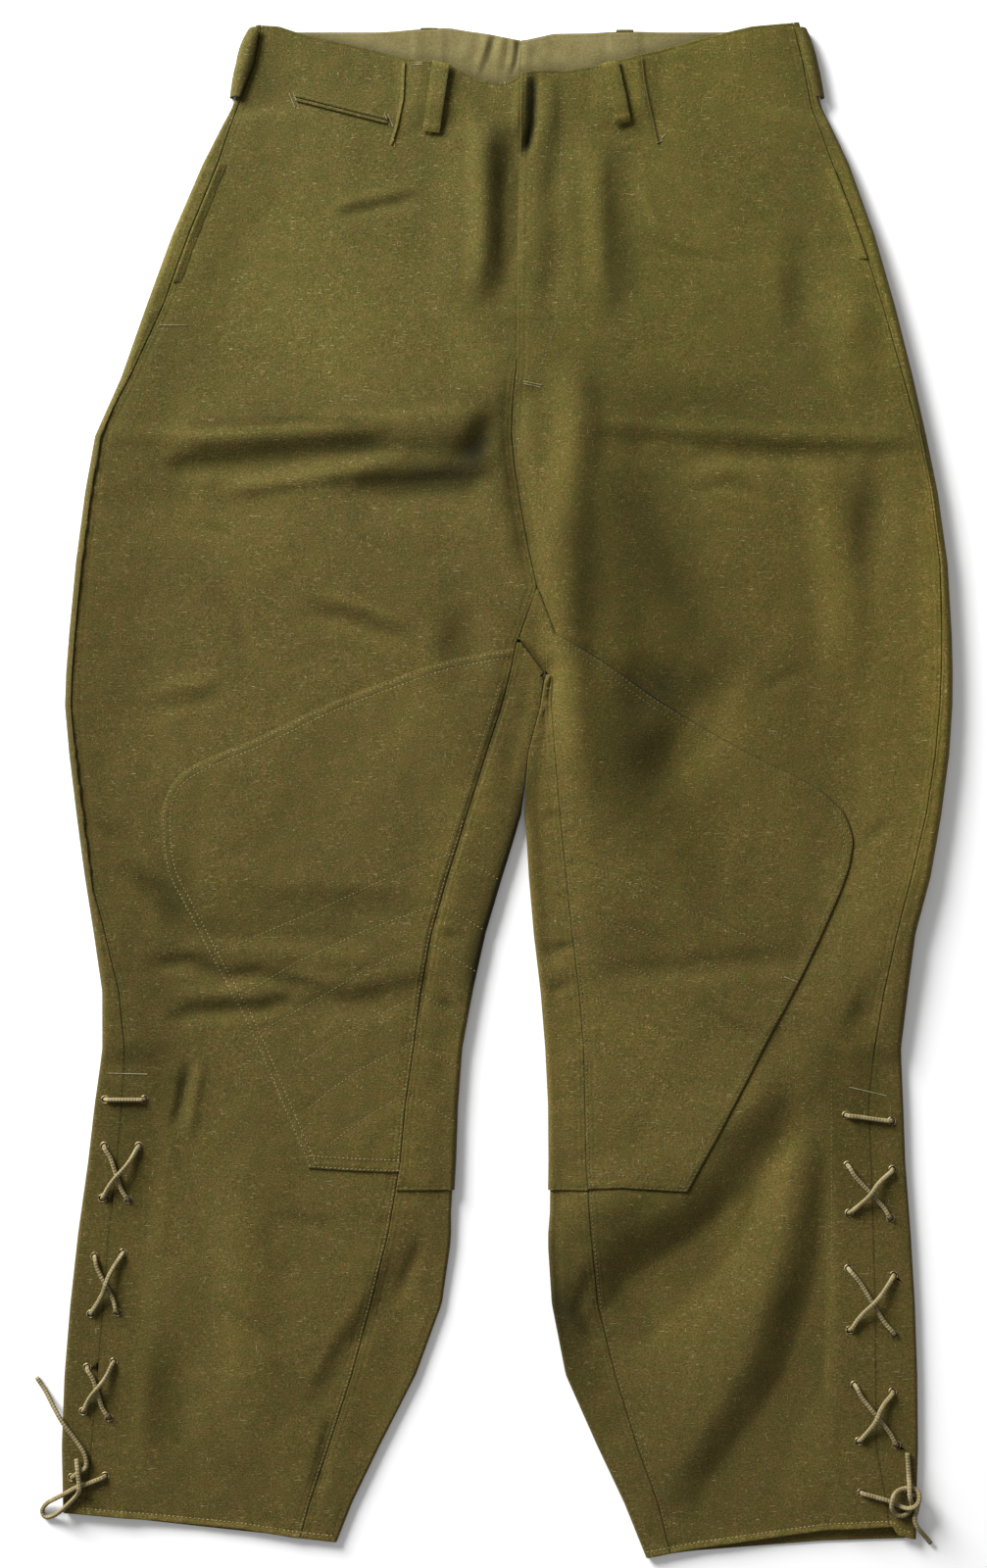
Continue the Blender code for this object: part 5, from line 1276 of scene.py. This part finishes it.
def makeFrontLoop(side):
    (a1, d1), (a2, d2) = loop["ends"][side]
    shares = np.linspace(0, 1, 44)[:, None]
    size = hypot(a2 - a1, d2 - d1)
    cross = np.linspace(-1, 1, 17)[None, :]
    wide = garment["loopWide"] / 2
    across = a1 + (a2 - a1) * shares - (d2 - d1) / size * cross * wide
    down = d1 + (d2 - d1) * shares + (a2 - a1) / size * cross * wide
    middleA, middleD = a1 + (a2 - a1) * shares[:, 0], d1 + (d2 - d1) * shares[:, 0]
    under = [max(float(topHeight(side, a + s * wide, max(d, float(along(waistFront, a))), fine=1.0))
                 for s in (-1, 0, 1)) for a, d in zip(middleA, middleD)]
    base = np.array(under)[:, None] + loop["under"] + garment["loopWall"] * 0.8
    bulge = loop["bulge"] * np.sin(pi * np.clip((shares - 0.04) / 0.92, 0, 1)) ** 0.8
    ends = np.minimum(shares, 1 - shares) * size
    height = base + bulge + crowned(cross) - atRim(ends, loop["sunkEnd"], 1.4)
    height = height + 0.5 * bell((shares * size - size + loop["tack"]) / 2.4)
    # painted shade darkens the long edges, most along one side; the strap and its ends are made lighter
    tone = 0.5 - 0.9 * smooth((-cross - 0.78) / 0.16) - 0.4 * (cross > 0.93)
    tone = tone + atRim(ends - 1.5, 0.8, 3)
    piece = gridShell("belt_loop_cloth_front_" + side, across, down, height, garment["loopWall"] * 0.8,
                      tone=tone, flip=True)
    return dressDrill(piece, "belt_loop_front_" + side)


def makeBackLoop(side):
    middle, top = backLoops[side]
    shares = np.linspace(0, 1, 20)[:, None]
    cross = np.linspace(-1, 1, 15)[None, :]
    across = middle + cross * (garment["loopWide"] / 2) + 0 * shares
    down = top + loop["top"] + (loop["long"] - loop["top"]) * shares + 0 * cross
    height = garment["loopWall"] + crowned(cross) + 0 * shares
    piece = gridShell("belt_loop_cloth_back_" + side, across, down, height, garment["loopWall"] * 0.97)
    return dressDrill(piece, "belt_loop_back_" + side)


def makeSideLoop(side):
    out = sides[side]
    rows = []
    angles = np.linspace(*loop["sideTurn"], 19)
    cross = np.linspace(-1, 1, 19)
    for share in np.linspace(0, 1, 40):
        down = loop["sideTop"] + (loop["sideFoot"] - loop["sideTop"]) * share
        middle, low, radius, way = foldSection(side, "Outer", down)
        gap = loop["sideGap"]
        away = gap + loop["sideBulge"][side] * max(0, sin(pi * share ** 0.8))
        extra = np.interp(angles, (-22, 10, 42, 74, 96), (0, 1, 0.75, 0.3, 0))
        reach = radius + gap + garment["loopWall"] + (away - gap) * extra + crowned(cross)
        rows.append((middle + out * reach * np.cos(np.radians(angles)), np.full(len(angles), down),
                     np.maximum(low + reach * np.sin(np.radians(angles)), loop["lowest"])))
    across, down, height = (np.array([row[k] for row in rows]) for k in range(3))
    piece = gridShell("belt_loop_cloth_side_" + side, across, down, height, garment["loopWall"],
                      flip=side == "left")
    return dressDrill(piece, "belt_loop_side_" + side)


pocket = {
    "watch": ((-148.5, 53.5), (-83.5, 70)), "lip": 2.4, "slit": 0.5,
    "slits": {"right": ((-71, 29), (-72, 55), (-76, 74), (-80, 87)),
              "left": ((94, 26), (96, 44), (100, 63), (105, 86))},
    "side": {"right": (100, 184), "left": (104, 168)}, "slitLip": 3.2, "sideLip": 6.5, "sideIn": 0.6,
    "weltWall": 0.9, "slitWall": 0.8, "slitTaper": 1.15, "sideTaper": 0.9,
}


def makeBand(name, side, line, wide, thick, node, taper=0.0):
    # a folded edge that lies on the panel, from a line to its width beside it
    rows = evenLine(line, 1.0)
    shares = np.linspace(0, 1, 13)[None, :]
    across = rows[:, :1] + wide[0] * shares
    down = rows[:, 1:] + wide[1] * shares
    length = np.arange(len(rows))[:, None] * 1.0
    ends = np.minimum(length, length[::-1])
    height = surface(side, across, down) + garment["overlayGap"] + thick - taper * smooth(shares * 1.1)
    height = height - 0.45 * (np.abs(shares * 2 - 1) ** 5) - atRim(ends, 0.4, 1.2)
    # painted shade: the band's two edges are darker
    tone = toneOf(side, across, down) - (0.5 - taper) * (np.abs(shares * 2 - 1) > 0.9)
    piece = gridShell(name, across, down, height, thick * 0.95, tone=tone)
    if sum(p.normal.z for p in piece.data.polygons) < 0:
        piece.data.flip_normals()
    return dressDrill(piece, node)


def makePockets():
    (a1, d1), (a2, d2) = pocket["watch"]
    lip, slit = pocket["lip"], pocket["slit"]
    for name, near, way in (("upper", -slit / 2, -lip), ("lower", slit / 2, lip)):
        makeBand("watch_welt_cloth_" + name, "right", ((a1, d1 + near), (a2, d2 + near)), (0, way),
                 pocket["weltWall"], "watch_pocket_welt_" + name)
    for side, out in sides.items():
        makeBand("slit_edge_cloth_" + side, side, pocket["slits"][side], (out * pocket["slitLip"], 0),
                 pocket["slitWall"], "front_slit_edge_" + side, taper=pocket["slitTaper"])
        top, foot = pocket["side"][side]
        line = [(float(edge(side, "Outseam", d)) - out * pocket["sideIn"], d)
                for d in np.linspace(top, foot, 9)]
        makeBand("pocket_edge_cloth_" + side, side, line, (-out * pocket["sideLip"], 0),
                 pocket["weltWall"], "side_pocket_edge_" + side, taper=pocket["sideTaper"])


underlap = {"top": 742, "foot": 1042, "half": 5.5, "below": 0.45, "flat": (0.011, 0.3), "area": 0.0033}


def makeUnderlap(side):
    rows = np.linspace(underlap["top"], underlap["foot"], 60)[:, None]
    seam = edge(side, "Outseam", rows)
    across = seam + np.linspace(-underlap["half"], underlap["half"], 9)[None, :]
    down = rows + 0 * across
    low = np.minimum(topHeight(side, across - 3, down), topHeight(side, across + 3, down))
    height = np.minimum(low, topHeight(side, across, down)) - garment["wall"] - underlap["below"]
    # painted shade: the underlap is darker all over, where it lies below the lacing
    piece = gridShell("lacing_underlap_cloth_" + side, across, down, height, garment["wall"], flip=True,
                      tone=0 * across - 0.8)
    return dressDrill(piece, "lacing_underlap_" + side)


makeGusset()
for side in sides:
    makeFacing(side)
    makeFrontLoop(side)
    makeBackLoop(side)
    makeSideLoop(side)
    makeUnderlap(side)
makePockets()
print("waist pieces and pockets made")


def makeEyelets(side):
    bm = bmesh.new()
    inner, outer, proud = (eyelet[k] * mm for k in ("inner", "outer", "proud"))
    middle, half = (inner + outer) / 2, (outer - inner) / 2
    for row in eyelets[side]:
        for a, d in (row[:2], row[2:]):
            top = float(topHeight(side, a, d, fine=1.0))
            centre = place(a, d, top - eyelet["sunk"])
            first, made = None, []
            for angle in np.linspace(*eyelet["arc"], 9):
                vert = bm.verts.new(centre + Vector((middle + half * cos(radians(angle)), 0,
                                                     proud * 1.5 * sin(radians(angle)))))
                if first is not None:
                    made.append(bm.edges.new((first, vert)))
                made.append(vert)
                first = vert
            bmesh.ops.spin(bm, geom=made, cent=centre, axis=(0, 0, 1), angle=2 * pi, steps=eyelet["steps"],
                           use_merge=True, use_normal_flip=False)
    bmesh.ops.recalc_face_normals(bm, faces=bm.faces)
    piece = wallUp("eyelets_metal_" + side, bm, 0)
    return dress(piece, metalFinish)


for side in sides:
    makeEyelets(side)
print("eyelets made")


# stitches, each laid on what it is sewn through
stitch = {"pitch": 3.0, "length": 2.0, "wide": 0.62, "sunk": 0.12, "patchIn": (1.9, 6.4),
          "patchUp": (1.6, 9.0), "crotchIn": 6.0, "inseamIn": 1.7, "hemUp": 4.6}
sewnPieces = [o for o in bpy.context.scene.objects if o.type == "MESH" and "_cloth_" in o.name
              and "underlap" not in o.name]
trees = [BVHTree.FromPolygons([v.co for v in o.data.vertices], [p.vertices for p in o.data.polygons])
         for o in sewnPieces]


def onTop(a, d):
    start = place(a, d, 60)
    hits = [hit for hit in (tree.ray_cast(start, Vector((0, 0, -1))) for tree in trees) if hit[0]]
    best = max(hits, key=lambda hit: hit[0].z) if hits else (None, None)
    return best[0], best[1]


def sew(name, lines, finish=None, length=None, wide=None, pitch=None):
    bm = bmesh.new()
    long, broad = length or stitch["length"], wide or stitch["wide"]
    for line in lines:
        rows = evenLine(line, pitch or stitch["pitch"])
        for before, after in zip(rows, rows[1:]):
            a, d = (before + after) / 2
            point, normal = onTop(a, d)
            if point is None:
                continue
            normal = normal if normal.z > 0 else -normal
            run = place(*after, 0) - place(*before, 0)
            run = (run - normal * run.dot(normal)).normalized()
            turn = Matrix((run, normal.cross(run), normal)).transposed().to_4x4()
            shape = Matrix.Diagonal((long / 2 * mm, broad / 2 * mm, broad * 0.42 * mm, 1))
            spot = Matrix.Translation(point + normal * (broad * 0.2 - stitch["sunk"]) * mm)
            bmesh.ops.create_icosphere(bm, subdivisions=1, radius=1, matrix=spot @ turn @ shape)
    piece = wallUp(name, bm, 0)
    return dress(piece, finish or seamThread)


def seamLine(side, start, end, away, step=6):       # a line beside the inseam
    return [(float(edge(side, "Inseam", d)) + away, d) for d in np.arange(start, end, step)]


def sewLeg(side):
    out = sides[side]
    run, foot = roundLine(patch["edge"][side]), patch["foot"][side]
    lines = [offsetLine(run[4:], -out * amount) for amount in stitch["patchIn"]]
    lines += [[(a, d - up) for a, d in foot] for up in stitch["patchUp"]]
    sew("patch_edge_thread_" + side, lines, patchThread[side])
    sew("quilting_thread_" + side, quiltLines(side) + wrapQuilting(side), quiltThread[side])
    sew("inseam_thread_" + side, [seamLine(side, zones["crotch"] + 4, 590, out * stitch["crotchIn"]),
                                  seamLine(side, 560, zones["end"] + 2, out * stitch["inseamIn"])],
        quiltThread[side])
    start, stop = (float(edge(side, name, zones["end"])) for name in ("Outer", "Inner"))
    hem = [(a, float(along(hemFront, a)) - stitch["hemUp"]) for a in
           np.arange(start - out * 4, stop + out * 3, -out * 6)]
    sew("hem_thread_" + side, [hem])


bagLines = (        # faint rows of stitches that hold the pocket bags, the fly and the placket
    ((227.7, 742), (227.7, 800), (228.4, 876)),
    ((-203, 105.5), (-174.5, 105.5), (-105.6, 96.6)),
    ((126.3, 89.7), (187.7, 94.5), (207.7, 98), (230.5, 104.2)),
    ((38, 46), (38, 150), (34, 215), (24, 244), (12, 252)),
)
tackLines = (       # short bars and whiskers of pale thread
    ((-152.5, 50.4), (-148.3, 60.7)), ((-149.6, 50.2), (-145.6, 60.4)),
    ((-85.6, 64.9), (-82.1, 73.8)), ((-83.2, 65.2), (-79.6, 74)),
    ((-66.9, 31.1), (-58.6, 30.4)), ((-67.2, 28.9), (-59, 29.2)),
    ((-51, 29.7), (-44.9, 36.6)), ((-49.5, 29), (-43.6, 34.5)),
    ((-79.3, 83.5), (-78.4, 88.5)), ((108.3, 82.8), (111, 79.8)), ((105, 86), (109, 84)),
    ((-238, 102.2), (-228, 102.2)), ((-242.2, 213.9), (-223.6, 213.9)),
    ((-1.4, 41.4), (-1, 46)), ((11.7, 252.8), (24.2, 255.4)), ((12.2, 254.6), (23.6, 257)),
    ((-279.5, 737.6), (-251.9, 738.3)), ((240.1, 747.3), (266.3, 753.5)), ((194.6, 670), (204, 673.8)),
)


for side in sides:
    sewLeg(side)
sew("pocket_bag_thread", bagLines, darkThread, wide=0.55, pitch=3.2)
sew("tack_thread", tackLines, tackThread, length=1.5, wide=0.85, pitch=0.8)
print("stitches made")
